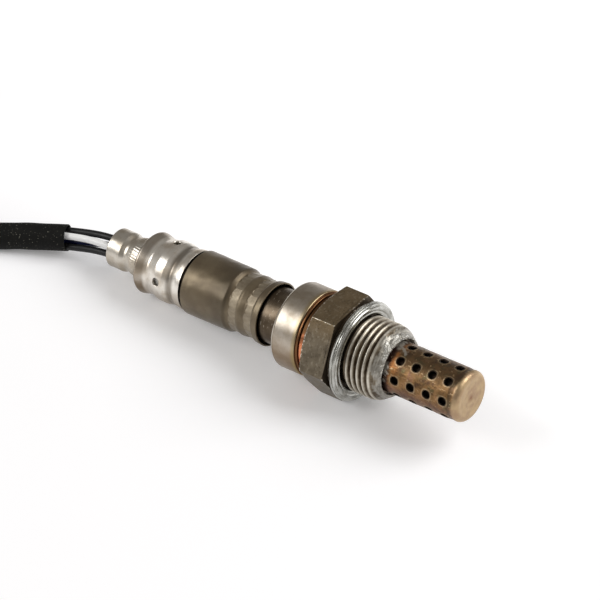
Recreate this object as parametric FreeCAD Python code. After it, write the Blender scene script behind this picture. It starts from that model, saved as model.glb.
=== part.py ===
import FreeCAD, Part
import math
import os

# Heated oxygen sensor, resting on a flat floor. The sensor is drawn along X with the
# gasket's middle plane at x = 0 and the tip towards +X, then rolled and tilted to where it rests.
# All lengths are in mm.

# Driving dimensions

thread_r = 9.0            # M18 x 1.5, drawn as a plain cylinder
thread_start = 1.3
thread_end = 8.0
hex_wall = 2.0            # from the thread's crest to the flats of the hexagon
hex_front = -1.84
hex_rear = -8.9
hex_rear_corner = -8.1    # where the rear chamfer meets the corners
hex_pad_drop = 0.6        # round pad under the gasket, in from the flats
hex_edge = 0.2
gasket_rim = 0.86         # how far the gasket stands out past the flats
gasket_bead = 0.95        # half the thickness of the folded ring
boss_wall = 1.55
boss_rear = -17.0
nose_end = 10.3

nose_wall = 2.9           # from the thread's crest in to the outer protection tube
tube_wall = 0.4
tube_end = 29.95
tube_rounding = 1.3
tube_hole_r = 1.0
tube_hole_first = 13.25
tube_hole_pitch = 4.32
tube_hole_rings = 4
tube_hole_rows = 8
tube_hole_angle = 15.0
tube_lip_gap = 0.5        # open ring between the tube and the lip of the housing
tube_lip_depth = 1.1

inner_tube_wall = 0.35
inner_tube_end = 28.0
inner_hole_r = 0.75
inner_hole_first = 14.0
inner_hole_pitch = 5.0

copper_wall = 0.6
copper_length = 2.0
collar_wall = 1.4
collar_rear = -18.4
collar_step = 0.55        # narrow front ring of the collar
collar_step_drop = 0.42

case_r = 6.7              # dark inner case
case_wall = 0.45
case_step = -46.2
case_rear = -58.4

sleeve_gap = 0.77         # between the inner case and the outer crimped sleeve
sleeve_wall = 0.33
sleeve_front = -24.4
sleeve_rear = -46.42
crimp_one = -33.1         # foot of the rear ring of jaw marks
crimp_two = -28.55        # foot of the front ring
crimp_ridge = -30.1
crimp_wall = 0.38
crimp_rise = 0.25         # each ring of marks rises forward by this much
crimp_width = 2.3
crimp_jaws = 20

cover_wall = 0.4          # bright rear cover
cover_mouth = -43.5
cover_step = -47.4        # edge of the wider mouth behind the sleeve
cover_step_r = 0.3
cover_valley = -50.6
cover_bulge = -53.6
cover_bulge_rise = 0.8
cover_groove = -57.4
cover_groove_rise = 0.1
flange_rise = 0.78
flange_front = -58.4
flange_rear = -60.95
flange_rounding = 0.6
neck_r = 4.75
neck_crimp = -66.2
neck_crimp_r = 4.3
neck_end = -71.3
air_hole_x = -54.05
air_hole_r = 1.0
air_hole_angle = 14.6

filter_wall = 0.5
fit_gap = 0.05

element_tip = 26.5
element_rear = -20.0
element_bore = 1.9
shoulder_front = -2.5
shoulder_rear = -5.5
heater_r = 1.45
heater_tip = 24.2
heater_rear = -33.0
seal_wall = 0.65
talc_rear = -9.5
insulator_rear = -15.0

wire_r = 0.825
wire_circle = 1.95        # the four wires stand on this circle
separator_front = -36.5
separator_rear = -58.4
holder_front = -23.2
holder_rear = -35.8
grommet_front = -62.2

cable_r = 3.25
cable_bore = 2.85
mouth_depth = 9.0

# Sizes that follow from these, so that pieces which fit together stay together

hex_flats = 2.0 * (thread_r + hex_wall)
gasket_r = hex_flats / 2.0 + gasket_rim
tube_r = thread_r - nose_wall
element_r = tube_r / 2.0
seal_r = case_r + seal_wall
boss_r = seal_r + boss_wall
lip_r = case_r + 0.1      # rolled rear edge of the housing
pad_r = hex_flats / 2.0 - hex_pad_drop
copper_r = boss_r + copper_wall
collar_r = boss_r + collar_wall
shoulder_r = tube_r - 0.6
inner_tube_r = 0.77 * tube_r
case_rear_r = case_r - 0.85
sleeve_r = case_r + sleeve_gap + sleeve_wall
crimp_r = case_r + crimp_wall
cover_bulge_r = case_r + cover_bulge_rise
cover_groove_r = case_r + cover_groove_rise
flange_r = case_r + flange_rise
separator_r = case_rear_r - 0.65

# Rest of the sensor on the floor: it stands on the gasket and on the rear flange, and it has rolled
# until a rear corner of the hexagon touches the floor as well.

gasket_ring_r = gasket_r - gasket_bead
flange_ring_r = flange_r - flange_rounding
flange_ring_x = flange_rear + flange_rounding
lever = -flange_ring_x
rise = gasket_ring_r - flange_ring_r
step = gasket_bead - flange_rounding
tilt = math.atan2(rise, lever) + math.asin(step / math.hypot(lever, rise))
axis_height = gasket_ring_r * math.cos(tilt) + gasket_bead
corner_r = hex_flats / 2.0 / math.cos(math.radians(30.0))
corner_drop = axis_height + hex_rear_corner * math.sin(tilt)
roll = math.asin(corner_drop / (corner_r * math.cos(tilt))) - math.radians(60.0)
front_reach = (tube_end - tube_rounding) * math.cos(tilt)
front_reach = front_reach + (tube_r - tube_rounding) * math.sin(tilt) + tube_rounding
rear_reach = -neck_end * math.cos(tilt) + neck_r * math.sin(tilt)
middle_x = (front_reach - rear_reach) / 2.0

X = FreeCAD.Vector(1, 0, 0)
Y = FreeCAD.Vector(0, 1, 0)
Z = FreeCAD.Vector(0, 0, 1)
O = FreeCAD.Vector(0, 0, 0)


# Where a point of the sensor's own frame stands in the part's frame.
def placed(x, y, z):
    turned_y = y * math.cos(roll) - z * math.sin(roll)
    turned_z = y * math.sin(roll) + z * math.cos(roll)
    away = x * math.cos(tilt) - turned_z * math.sin(tilt)
    up = x * math.sin(tilt) + turned_z * math.cos(tilt)
    return FreeCAD.Vector(away - middle_x, turned_y, up + axis_height)


# Rolls and tilts a solid of the sensor's frame to its place on the floor.
def rest(shape):
    result = shape.copy()
    result.rotate(O, X, math.degrees(roll))
    result.rotate(O, Y, -math.degrees(tilt))
    result.translate(FreeCAD.Vector(-middle_x, 0, axis_height))
    return result


# A closed outline through corners (x, r, rounding), each rounding a tangent arc.
def outline(corners):
    count = len(corners)
    starts = []
    ends = []
    arcs = []
    for index in range(count):
        x, r, rounding = corners[index]
        here = FreeCAD.Vector(x, 0, r)
        before = FreeCAD.Vector(corners[index - 1][0], 0, corners[index - 1][1])
        after = FreeCAD.Vector(corners[(index + 1) % count][0], 0, corners[(index + 1) % count][1])
        if rounding <= 0:
            starts.append(here)
            ends.append(here)
            arcs.append(None)
            continue
        back = (before - here).normalize()
        ahead = (after - here).normalize()
        half = back.getAngle(ahead) / 2.0
        reach = rounding / math.tan(half)
        toward = (back + ahead).normalize()
        centre = here + toward * (rounding / math.sin(half))
        first = here + back * reach
        last = here + ahead * reach
        starts.append(first)
        ends.append(last)
        arcs.append(Part.Arc(first, centre - toward * rounding, last).toShape())
    edges = []
    for index in range(count):
        if arcs[index] is not None:
            edges.append(arcs[index])
        following = starts[(index + 1) % count]
        if (ends[index] - following).Length > 1e-6:
            edges.append(Part.LineSegment(ends[index], following).toShape())
    return Part.Wire(edges)


# A solid of revolution about X from such an outline.
def turned(corners):
    return Part.Face(outline(corners)).revolve(O, X, 360)


# The radius at x on a cone that runs between two ends.
def cone_r(x, x_a, r_a, x_b, r_b):
    return r_a + (x - x_a) * (r_b - r_a) / (x_b - x_a)


# A plain cylinder along X.
def bar(start, end, radius, y=0.0, z=0.0):
    return Part.makeCylinder(radius, end - start, FreeCAD.Vector(start, y, z), X)


# Radial drills at one x, the first one at an angle counted up from the -Y side.
def drills(x, radius, inner, outer, count, angle):
    tools = []
    for index in range(count):
        turn = math.radians(angle + 360.0 * index / count)
        way = FreeCAD.Vector(0, -math.cos(turn), math.sin(turn))
        start = way * inner + FreeCAD.Vector(x, 0, 0)
        tools.append(Part.makeCylinder(radius, outer - inner, start, way))
    return tools


# The places of the four wires on their circle, in the sensor's frame.
def wire_place(angle):
    turn = math.radians(angle)
    return -wire_circle * math.cos(turn), wire_circle * math.sin(turn)


pieces = {}

# Housing: hexagon, threaded shank, seats for the element and the protection tubes

hex_points = []
for index in range(7):
    turn = math.radians(60.0 * index)
    hex_points.append(FreeCAD.Vector(hex_rear, corner_r * math.cos(turn), corner_r * math.sin(turn)))
hexagon = Part.Face(Part.makePolygon(hex_points)).extrude(X * (hex_front - hex_rear))
chamfered = turned([
    (hex_rear, 0, 0),
    (hex_rear, hex_flats / 2.0 + 0.05, 0),
    (hex_rear_corner, corner_r, 0),
    (hex_front - hex_edge, corner_r, 0),
    (hex_front, corner_r - 1.5 * hex_edge, 0),
    (hex_front, 0, 0),
])
hexagon = hexagon.common(chamfered)
pad = turned([
    (hex_front - 1.0, 0, 0),
    (hex_front - 1.0, pad_r, 0),
    (-gasket_bead, pad_r, 0.15),
    (-gasket_bead, 0, 0),
])
shank = turned([
    (boss_rear, 0, 0),
    (boss_rear, boss_r, 0),
    (hex_rear + 1.0, boss_r, 0),
    (hex_front - 1.0, thread_r - 0.95, 0),
    (thread_start - 0.3, thread_r - 0.95, 0),
    (thread_start, thread_r, 0),
    (thread_end, thread_r, 0),
    (thread_end + 1.2, thread_r - 1.25, 0),
    (nose_end - 0.3, thread_r - 1.8, 0.3),
    (nose_end, tube_r + tube_lip_gap + 0.15, 0),
    (nose_end, 0, 0),
])
flange_pocket = tube_r + 0.75
seat_r = shoulder_r + 0.3
seat_start = shoulder_front + 0.2
seat_end = shoulder_front + 1.4
front_bore = inner_tube_r + 0.25
pocket_floor = 7.6
housing_bore = turned([
    (boss_rear - 1, 0, 0),
    (boss_rear - 1, lip_r, 0),
    (boss_rear + 0.8, lip_r, 0),
    (boss_rear + 0.8, seal_r, 0),
    (shoulder_rear - 1.6, seal_r, 0),
    (shoulder_rear, seat_r, 0),
    (seat_start, seat_r, 0),
    (seat_end, front_bore, 0),
    (pocket_floor, front_bore, 0),
    (pocket_floor, flange_pocket, 0),
    (pocket_floor + 0.8, flange_pocket, 0),
    (pocket_floor + 0.8, tube_r + fit_gap, 0),
    (nose_end - tube_lip_depth, tube_r + fit_gap, 0),
    (nose_end - tube_lip_depth, tube_r + tube_lip_gap, 0),
    (nose_end + 1, tube_r + tube_lip_gap, 0),
    (nose_end + 1, 0, 0),
])
pieces["housing"] = hexagon.fuse([pad, shank]).cut(housing_bore).removeSplitter()

# Folded sealing ring under the hexagon

pieces["gasket"] = turned([
    (-gasket_bead, thread_r + 0.12, 0.5),
    (-gasket_bead, gasket_r, gasket_bead - 0.01),
    (gasket_bead, gasket_r, gasket_bead - 0.01),
    (gasket_bead, thread_r + 0.12, 0.5),
])

# Protection tubes: a perforated outer one and a perforated inner one

outer_tube = turned([
    (pocket_floor + 0.4, tube_r - tube_wall, 0),
    (pocket_floor + 0.4, flange_pocket - fit_gap, 0.1),
    (pocket_floor + 0.8, flange_pocket - fit_gap, 0.1),
    (pocket_floor + 0.8, tube_r, 0),
    (tube_end, tube_r, tube_rounding),
    (tube_end, 0, 0),
    (tube_end - tube_wall, 0, 0),
    (tube_end - tube_wall, tube_r - tube_wall, tube_rounding - tube_wall),
])
holes = []
for ring in range(tube_hole_rings):
    x = tube_hole_first + ring * tube_hole_pitch
    holes = holes + drills(x, tube_hole_r, tube_r - 1.0, tube_r + 1.0, tube_hole_rows, tube_hole_angle)
pieces["outer_protection_tube"] = outer_tube.cut(holes)

inner_tube = turned([
    (pocket_floor, inner_tube_r - inner_tube_wall, 0),
    (pocket_floor, flange_pocket - fit_gap, 0),
    (pocket_floor + 0.4, flange_pocket - fit_gap, 0),
    (pocket_floor + 0.4, inner_tube_r, 0),
    (inner_tube_end, inner_tube_r, 1.0),
    (inner_tube_end, 0, 0),
    (inner_tube_end - inner_tube_wall, 0, 0),
    (inner_tube_end - inner_tube_wall, inner_tube_r - inner_tube_wall, 0.65),
])
holes = []
for ring in range(3):
    x = inner_hole_first + ring * inner_hole_pitch
    holes = holes + drills(x, inner_hole_r, inner_tube_r - 1.0, inner_tube_r + 1.0, 6, 0.0)
pieces["inner_protection_tube"] = inner_tube.cut(holes)

# Sensing element, its heater and the packing that seals it in the housing

barrel_r = element_r + 1.3
cone_foot = element_r + 0.9
bore_mouth = element_bore + 0.3
pieces["sensing_element"] = turned([
    (element_rear, bore_mouth, 0),
    (element_rear, barrel_r, 0.2),
    (shoulder_rear - 1.2, barrel_r, 0),
    (shoulder_rear, shoulder_r, 0.3),
    (shoulder_front, shoulder_r, 0.3),
    (shoulder_front + 1.5, cone_foot, 0),
    (shoulder_front + 5.0, element_r + 0.4, 0),
    (element_tip, element_r, element_r - 0.05),
    (element_tip, 0, 0),
    (element_tip - 1.2, 0, 0),
    (element_tip - 1.2, element_bore - 0.2, element_bore - 0.3),
    (shoulder_front, element_bore, 0),
])
pieces["heater_rod"] = turned([
    (heater_rear, 0, 0),
    (heater_rear, heater_r, 0.2),
    (heater_tip, heater_r, 0.5),
    (heater_tip, 0, 0),
])
washer = []
for x in (seat_start, seat_start + 0.6):
    inner = cone_r(x, shoulder_front, shoulder_r, shoulder_front + 1.5, cone_foot)
    outer = cone_r(x, seat_start, seat_r, seat_end, front_bore)
    washer.append((x, inner, outer))
pieces["seat_washer"] = turned([
    (washer[0][0], washer[0][1], 0),
    (washer[0][0], washer[0][2], 0),
    (washer[1][0], washer[1][2], 0),
    (washer[1][0], washer[1][1], 0),
])
pieces["talc_seal"] = turned([
    (talc_rear, barrel_r, 0),
    (talc_rear, seal_r, 0),
    (shoulder_rear - 1.65, seal_r, 0),
    (shoulder_rear - 1.3, seal_r - 0.4, 0),
    (shoulder_rear - 1.3, barrel_r, 0),
])
pieces["insulator_ring"] = turned([
    (insulator_rear, barrel_r + fit_gap, 0.2),
    (insulator_rear, seal_r - fit_gap, 0.2),
    (talc_rear, seal_r - fit_gap, 0),
    (talc_rear, barrel_r + fit_gap, 0),
])

# Inner case, clamped behind the insulator by the packing ring and the rolled lip

case_flange_front = insulator_rear
inner_case = turned([
    (case_flange_front, case_r - case_wall, 0),
    (case_flange_front, seal_r, 0),
    (case_flange_front - case_wall, seal_r, 0),
    (case_flange_front - case_wall, case_r, 0),
    (case_step, case_r, 0.4),
    (case_step - 1.3, case_rear_r, 0.4),
    (case_rear, case_rear_r, 0),
    (case_rear, case_rear_r - case_wall, 0),
    (case_step - 1.3, case_rear_r - case_wall, 0.3),
    (case_step, case_r - case_wall, 0.3),
])
air_bores = drills(air_hole_x, 0.75, case_rear_r - 1.0, case_rear_r + 1.0, 4, air_hole_angle)
pieces["inner_case"] = inner_case.cut(air_bores)
packing_front = case_flange_front - case_wall
pieces["packing_ring"] = turned([
    (boss_rear + 0.8, case_r, 0.15),
    (boss_rear + 0.8, seal_r, 0.15),
    (packing_front, seal_r, 0.15),
    (packing_front, case_r, 0.15),
])

# Copper ring and bright collar behind the hexagon

collar_front = hex_rear - copper_length
pieces["copper_ring"] = turned([
    (collar_front, boss_r, 0),
    (collar_front, copper_r, 0.3),
    (hex_rear, copper_r, 0.3),
    (hex_rear, boss_r, 0),
])
pieces["collar"] = turned([
    (collar_rear, case_r + 0.15, 0),
    (collar_rear, collar_r, 1.0),
    (collar_front - collar_step, collar_r, 0.35),
    (collar_front - collar_step, collar_r - collar_step_drop, 0.05),
    (collar_front, collar_r - collar_step_drop, 0.2),
    (collar_front, boss_r, 0),
    (boss_rear, boss_r, 0),
    (boss_rear, case_r + 0.15, 0),
])

# Outer sleeve with two rings of jaw marks that grip the inner case. Each ring is a shallow cone
# that starts at a steep foot and rises forward, pressed into flats by the jaws.

sleeve = turned([
    (sleeve_front, sleeve_r - 0.1 - sleeve_wall, 0),
    (sleeve_front, sleeve_r - 0.1, 0.1),
    (sleeve_front - 1.3, sleeve_r - 0.2, 0.5),
    (crimp_two + 0.15, crimp_r, 0.3),
    (crimp_two - 0.15, crimp_r, 0.2),
    (crimp_ridge, crimp_r + crimp_rise, 0.4),
    (crimp_one + 0.15, crimp_r, 0.3),
    (crimp_one - 0.15, crimp_r, 0.2),
    (crimp_one - 1.2, sleeve_r - 0.1, 0.8),
    (sleeve_rear + 2.0, sleeve_r, 0),
    (sleeve_rear, sleeve_r, 0.1),
    (sleeve_rear, sleeve_r - sleeve_wall, 0),
    (sleeve_rear + 2.0, sleeve_r - sleeve_wall, 0),
    (crimp_one - 1.5, sleeve_r - 0.1 - sleeve_wall, 0.5),
    (crimp_one - 0.4, case_r, 0.2),
    (crimp_two + 0.5, case_r, 0.3),
    (sleeve_front - 1.3, sleeve_r - 0.2 - sleeve_wall, 0.3),
])
jaw_slope = math.degrees(math.atan(crimp_rise / (crimp_ridge - crimp_one)))
jaw_flat = crimp_r * math.cos(math.pi / crimp_jaws)
jaw_half = 1.2 * crimp_r * math.sin(math.pi / crimp_jaws)
jaws = []
for foot in (crimp_one, crimp_two):
    for index in range(crimp_jaws):
        corner = FreeCAD.Vector(foot, -jaw_half, jaw_flat)
        jaw = Part.makeBox(crimp_width, 2.0 * jaw_half, sleeve_gap, corner)
        jaw.rotate(corner, Y, -jaw_slope)
        jaw.rotate(O, X, 360.0 * index / crimp_jaws)
        jaws.append(jaw)
pieces["outer_sleeve"] = sleeve.cut(jaws)

# Rear cover: mouth inside the sleeve, breathing holes, flange, and the neck crimped on the grommet

cover_mouth_r = case_r + cover_wall
cover_lip_r = cover_mouth_r + cover_step_r
cover_outer = [
    (cover_mouth, cover_mouth_r, 0),
    (cover_step + 0.15, cover_mouth_r, 0.05),
    (cover_step, cover_lip_r, 0.1),
    (cover_step - 1.1, cover_lip_r - 0.04, 0.5),
    (cover_valley, cover_mouth_r - 0.12, 0.9),
    (cover_bulge + 1.1, cover_bulge_r, 0.8),
    (cover_bulge - 1.1, cover_bulge_r, 0.8),
    (cover_groove + 0.2, cover_groove_r, 0.25),
    (cover_groove - 0.2, cover_groove_r, 0.25),
    (flange_rear + flange_rounding + 0.15, flange_r, 0.1),
    (flange_rear, flange_r, flange_rounding),
    (flange_rear, neck_r, 0.5),
    (neck_crimp + 2.0, neck_r, 0.8),
    (neck_crimp + 0.3, neck_crimp_r, 0.6),
    (neck_crimp - 0.3, neck_crimp_r, 0.6),
    (neck_crimp - 1.4, neck_r, 0.6),
    (neck_end, neck_r, 0.15),
]
cover_inner = [
    (neck_end, neck_r - cover_wall, 0),
    (neck_crimp - 1.4, neck_r - cover_wall, 0.4),
    (neck_crimp - 0.3, neck_crimp_r - cover_wall, 0.3),
    (neck_crimp + 0.3, neck_crimp_r - cover_wall, 0.3),
    (neck_crimp + 2.0, neck_r - cover_wall, 0.4),
    (flange_rear + cover_wall, neck_r - cover_wall, 0),
    (flange_rear + cover_wall, flange_r - cover_wall - 0.05, 0.15),
    (cover_groove - 0.2, cover_groove_r - cover_wall, 0.2),
    (cover_groove + 0.3, cover_groove_r - cover_wall, 0.2),
    (cover_bulge - 1.0, cover_bulge_r - cover_wall, 0.4),
    (cover_bulge + 1.0, cover_bulge_r - cover_wall, 0.4),
    (cover_valley, cover_mouth_r - 0.12 - cover_wall, 0.5),
    (cover_step - 1.0, cover_mouth_r - cover_wall, 0.5),
    (cover_mouth, cover_mouth_r - cover_wall, 0),
]
cover = turned(cover_outer + cover_inner)
air_holes = drills(air_hole_x, air_hole_r, cover_bulge_r - 1.1, cover_bulge_r + 0.7, 4, air_hole_angle)
pieces["rear_cover"] = cover.cut(air_holes)

filter_r = cover_groove_r - cover_wall
pieces["breather_filter"] = turned([
    (flange_front + 0.4, case_rear_r, 0),
    (flange_front + 0.4, filter_r, 0),
    (cover_valley - 0.9, filter_r, 0),
    (cover_valley - 0.9, case_rear_r, 0),
])

# Grommet squeezed in the neck, with one bore for each wire

wire_angles = {"black_wire_a": 123.0, "white_wire": 33.0, "blue_wire": 213.0, "black_wire_b": -57.0}
squeezed = neck_r - cover_wall
grommet = turned([
    (neck_end + 0.35, 0, 0),
    (neck_end + 0.35, squeezed, 0.2),
    (neck_crimp - 1.4, squeezed, 0.4),
    (neck_crimp - 0.3, neck_crimp_r - cover_wall, 0.3),
    (neck_crimp + 0.3, neck_crimp_r - cover_wall, 0.3),
    (neck_crimp + 2.0, squeezed, 0.4),
    (grommet_front, squeezed, 0.3),
    (grommet_front, 0, 0),
])
pieces["grommet"] = grommet

# Ceramic separator and the holder in front of it, with the four terminals between them

separator = turned([
    (separator_rear, 0, 0),
    (separator_rear, separator_r, 0.3),
    (separator_front, separator_r, 0.3),
    (separator_front, 0, 0),
])
channel_r = wire_r + 0.27
channels = []
for name in wire_angles:
    y, z = wire_place(wire_angles[name])
    channels.append(bar(separator_rear - 1, separator_front + 1, channel_r, y, z))
separator_flange = bar(separator_rear, separator_rear + 2.5, case_rear_r - case_wall)
pieces["terminal_separator"] = separator.fuse(separator_flange).cut(channels).removeSplitter()

holder_r = case_r - case_wall
holder_slot = 0.585 * holder_r
holder_recess = 0.745 * holder_r
pieces["terminal_holder"] = turned([
    (holder_rear, holder_slot, 0),
    (holder_rear, holder_r, 0.3),
    (holder_front, holder_r, 0.3),
    (holder_front, holder_recess, 0),
    (holder_front - 3.0, holder_recess, 0),
    (holder_front - 4.0, holder_slot, 0),
])

# Spring washer that presses the separator forward against the holder

spring = turned([
    (separator_front, separator_r - 1.2, 0),
    (separator_front, separator_r - 0.4, 0),
    (holder_rear - 0.3, separator_r + 0.5, 0),
    (holder_rear, separator_r + 0.5, 0),
    (separator_front + 0.3, separator_r - 0.4, 0),
    (separator_front + 0.3, separator_r - 1.2, 0),
])
pieces["spring_washer"] = spring

# Terminals: a crimp barrel on each wire and a strip that runs forward to its contact

wire_start = grommet_front + 1.6
barrel_end = wire_start + 5.0
strip_half = 0.2


# Barrel and strip of one terminal, the strip standing at its wire's place.
def terminal(angle, front):
    y, z = wire_place(angle)
    barrel = bar(wire_start, barrel_end, wire_r + 0.15, y, z)
    corner = FreeCAD.Vector(barrel_end - 0.5, -strip_half, -0.7)
    strip = Part.makeBox(front - barrel_end + 0.5, 2.0 * strip_half, 1.4, corner)
    strip.rotate(O, X, -angle)
    strip.translate(FreeCAD.Vector(0, y, z))
    return barrel.fuse(strip)


contact_inner = heater_r
heater_front = heater_rear + 5.0
heater_terminals = []
for angle in (wire_angles["black_wire_a"], wire_angles["black_wire_b"]):
    y, z = wire_place(angle)
    turn = math.radians(angle)
    body = terminal(angle, heater_front)
    corner = FreeCAD.Vector(heater_front - 2.5, -wire_circle, -0.7)
    pad = Part.makeBox(2.5, wire_circle - contact_inner, 1.4, corner)
    pad.rotate(O, X, -angle)
    heater_terminals.append(body.fuse(pad))
pieces["heater_terminals"] = Part.makeCompound(heater_terminals)

signal_front = element_rear - 0.4
signal = terminal(wire_angles["white_wire"], signal_front)
signal_ring_end = element_rear + 4.0
signal_ring_r = cone_r(signal_ring_end, element_rear, bore_mouth, shoulder_front, element_bore)
signal_ring = turned([
    (element_rear - 0.95, heater_r + 0.1, 0),
    (element_rear - 0.95, bore_mouth, 0),
    (element_rear, bore_mouth, 0),
    (signal_ring_end, signal_ring_r, 0),
    (signal_ring_end, heater_r + 0.1, 0),
])
pieces["signal_terminal"] = signal.fuse(signal_ring).removeSplitter()

ground_front = element_rear - 1.0
ground = terminal(wire_angles["blue_wire"], ground_front - 0.2)
ground_tab = Part.makeBox(0.35, 1.6, 1.4, FreeCAD.Vector(ground_front - 0.4, -wire_circle - 1.4, -0.7))
ground_tab.rotate(O, X, -wire_angles["blue_wire"])
ground_cap = turned([
    (element_rear - 1.4, wire_circle + 0.75, 0),
    (element_rear - 1.4, element_r + 1.75, 0),
    (element_rear + 4.0, element_r + 1.75, 0),
    (element_rear + 4.0, barrel_r, 0),
    (element_rear - 1.05, barrel_r, 0),
    (element_rear - 1.05, wire_circle + 0.75, 0),
])
pieces["ground_terminal"] = ground.fuse([ground_tab, ground_cap]).removeSplitter()

for name in list(pieces):
    pieces[name] = rest(pieces[name])


# A tube along straight runs that are joined by tangent arcs, with the radii printed.
def tube_route(name, points, radius):
    count = len(points)
    spans = [(points[i + 1] - points[i]).Length for i in range(count - 1)]
    edges = []
    start = points[0]
    length = 0.0
    for index in range(1, count - 1):
        back = (points[index - 1] - points[index]).normalize()
        ahead = (points[index + 1] - points[index]).normalize()
        half = (math.pi - back.getAngle(ahead)) / 2.0
        reach = 0.45 * min(spans[index - 1], spans[index])
        arc_r = reach / math.tan(half)
        toward = (back + ahead).normalize()
        centre = points[index] + toward * (arc_r / math.cos(half))
        first = points[index] + back * reach
        last = points[index] + ahead * reach
        edges.append(Part.LineSegment(start, first).toShape())
        edges.append(Part.Arc(first, centre - toward * arc_r, last).toShape())
        length = length + (first - start).Length + 2.0 * half * arc_r
        turn = math.degrees(2 * half)
        print(name, "run", round(spans[index - 1], 2), "turn", round(turn, 1), "radius", round(arc_r, 2))
        start = last
    edges.append(Part.LineSegment(start, points[-1]).toShape())
    length = length + (points[-1] - start).Length
    path = Part.Wire(edges)
    section = Part.Wire(Part.makeCircle(radius, points[0], points[1] - points[0]))
    solid = path.makePipeShell([section], True, False)
    ratio = solid.Volume / (length * math.pi * radius ** 2)
    print(name, "length", round(length, 2), "volume ratio", round(ratio, 4))
    return solid


# Cable: where its mouth is and how it lies, as heights above the floor


# A point given along the sensor from the gasket's middle, with its height above the floor.
def on_floor(x, y, z):
    return FreeCAD.Vector(x - middle_x, y, z)


# The next point of a route: a run of some length at a heading counted from +X towards +Y.
def onward(start, heading, run, height):
    turn = math.radians(heading)
    return FreeCAD.Vector(start.x + run * math.cos(turn), start.y + run * math.sin(turn), height)


mouth = on_floor(-84.5, -2.9, 4.8)
mouth_heading = math.radians(204.0)
inward = FreeCAD.Vector(math.cos(mouth_heading), math.sin(mouth_heading), -0.125).normalize()
sight = FreeCAD.Vector(0.4700, -0.6091, 0.6389)
near = (sight - inward * sight.dot(inward)).normalize()
over = near.cross(inward)
if over.z < 0:
    over = over * -1.0

# Wires: from the crimp barrels through the grommet, then into the mouth of the cable

seats = {
    "black_wire_a": (1.88, -0.35),
    "white_wire": (0.65, 0.95),
    "blue_wire": (-0.7, -0.95),
    "black_wire_b": (-1.95, 0.25),
}
knee_x = neck_end - 0.8
wire_solids = {}
for name in seats:
    y, z = wire_place(wire_angles[name])
    up, side = seats[name]
    seat = mouth + over * up + near * side
    points = [placed(wire_start + 1.2, y, z), placed(knee_x, y, z)]
    points = points + [seat - inward * 2.0, seat + inward * mouth_depth]
    wire_solids[name] = tube_route(name, points, wire_r)

pieces.update(wire_solids)
for name in ("grommet", "heater_terminals", "signal_terminal", "ground_terminal"):
    pieces[name] = pieces[name].cut(list(wire_solids.values()))

# Cable sheath: down to the floor, out to the left, round a loose loop and back to the plug

plug_axis_z = 6.3
first = mouth + inward * (mouth_depth + 1.5)
route = [mouth, first]
lay = [
    (216.7, 9.0), (198.0, 12.0), (184.0, 18.0), (180.0, 43.0), (176.0, 44.0), (152.0, 13.0),
    (120.0, 8.5), (90.0, 8.5), (60.0, 8.5), (30.0, 8.5), (2.0, 22.0),
]
for heading, run in lay:
    route.append(onward(route[-1], heading, run, cable_r))
route.append(onward(route[-1], -2.0, 8.0, cable_r + 1.4))
route.append(onward(route[-1], 0.0, 7.0, plug_axis_z))
route.append(onward(route[-1], 0.0, 8.0, plug_axis_z))
for point in route:
    print("route", round(point.x, 3), round(point.y, 3), round(point.z, 3))
sheath = tube_route("cable_sheath", route, cable_r)
pocket = Part.makeCylinder(cable_bore, mouth_depth + 1.0, mouth - inward, inward)
pieces["cable_sheath"] = sheath.cut(pocket)

# Plug on the cable's end: boot, housing with a latch, terminal lock and four pins

plug_x = route[-1].x
plug_y = route[-1].y
boot_length = 11.0
boot_grip = 5.0
plug_length = 26.0
plug_width = 19.0
plug_height = 2.0 * plug_axis_z
plug_wall = 1.7
plug_pocket = 16.0
pin_reach = 9.0


# A solid of revolution about the plug's axis, given as (x, r, rounding) from the cable's end.
def on_plug(corners):
    shape = turned(corners)
    shape.translate(FreeCAD.Vector(plug_x, plug_y, plug_axis_z))
    return shape


# A block on the plug: its start and length along X, its width, and its height about a middle.
def block(start, length, width, height, middle_y=0.0, middle_z=0.0):
    right = plug_y + middle_y - width / 2.0
    bottom = plug_axis_z + middle_z - height / 2.0
    return Part.makeBox(length, width, height, FreeCAD.Vector(plug_x + start, right, bottom))


boot_end = boot_length - boot_grip
pieces["plug_boot"] = on_plug([
    (-boot_grip, cable_r, 0),
    (-boot_grip, cable_r + 1.0, 0.4),
    (boot_end - 4.0, cable_r + 2.2, 0.5),
    (boot_end - 4.0, cable_r + 2.8, 0.3),
    (boot_end, cable_r + 2.8, 0),
    (boot_end, 0, 0),
    (0, 0, 0),
    (0, cable_r, 0),
])
body = block(boot_end, plug_length, plug_width, plug_height)
long_edges = [edge for edge in body.Edges if abs(edge.tangentAt(edge.FirstParameter).x) > 0.99]
body = body.makeFillet(1.5, long_edges)
mouth_x = boot_end + plug_length
hollow_width = plug_width - 2.0 * plug_wall
hollow_height = plug_height - 2.0 * plug_wall
hollow = block(mouth_x - plug_pocket, plug_pocket + 1.0, hollow_width, hollow_height)
latch_top = plug_height / 2.0
latch = block(mouth_x - 0.46 * plug_length, 0.27 * plug_length, 0.32 * plug_width, 1.6, 0.0, latch_top + 0.7)
rib_way = 0.32 * plug_width
ribs = []
for side in (-rib_way, rib_way):
    ribs.append(block(boot_end + 2.0, 0.77 * plug_length, 1.4, 1.2, side, latch_top + 0.5))
body = body.fuse([latch] + ribs).cut(hollow).removeSplitter()
pin_spots = [(-3.0, -1.8), (3.0, -1.8), (-3.0, 1.8), (3.0, 1.8)]
pin_base = mouth_x - plug_pocket
slots = [block(pin_base - 6.0, 7.0, 1.6, 0.8, y, z) for y, z in pin_spots]
pieces["plug_housing"] = body.cut(slots)
lock = block(pin_base, 1.4, hollow_width - 0.2, hollow_height - 0.2)
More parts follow.
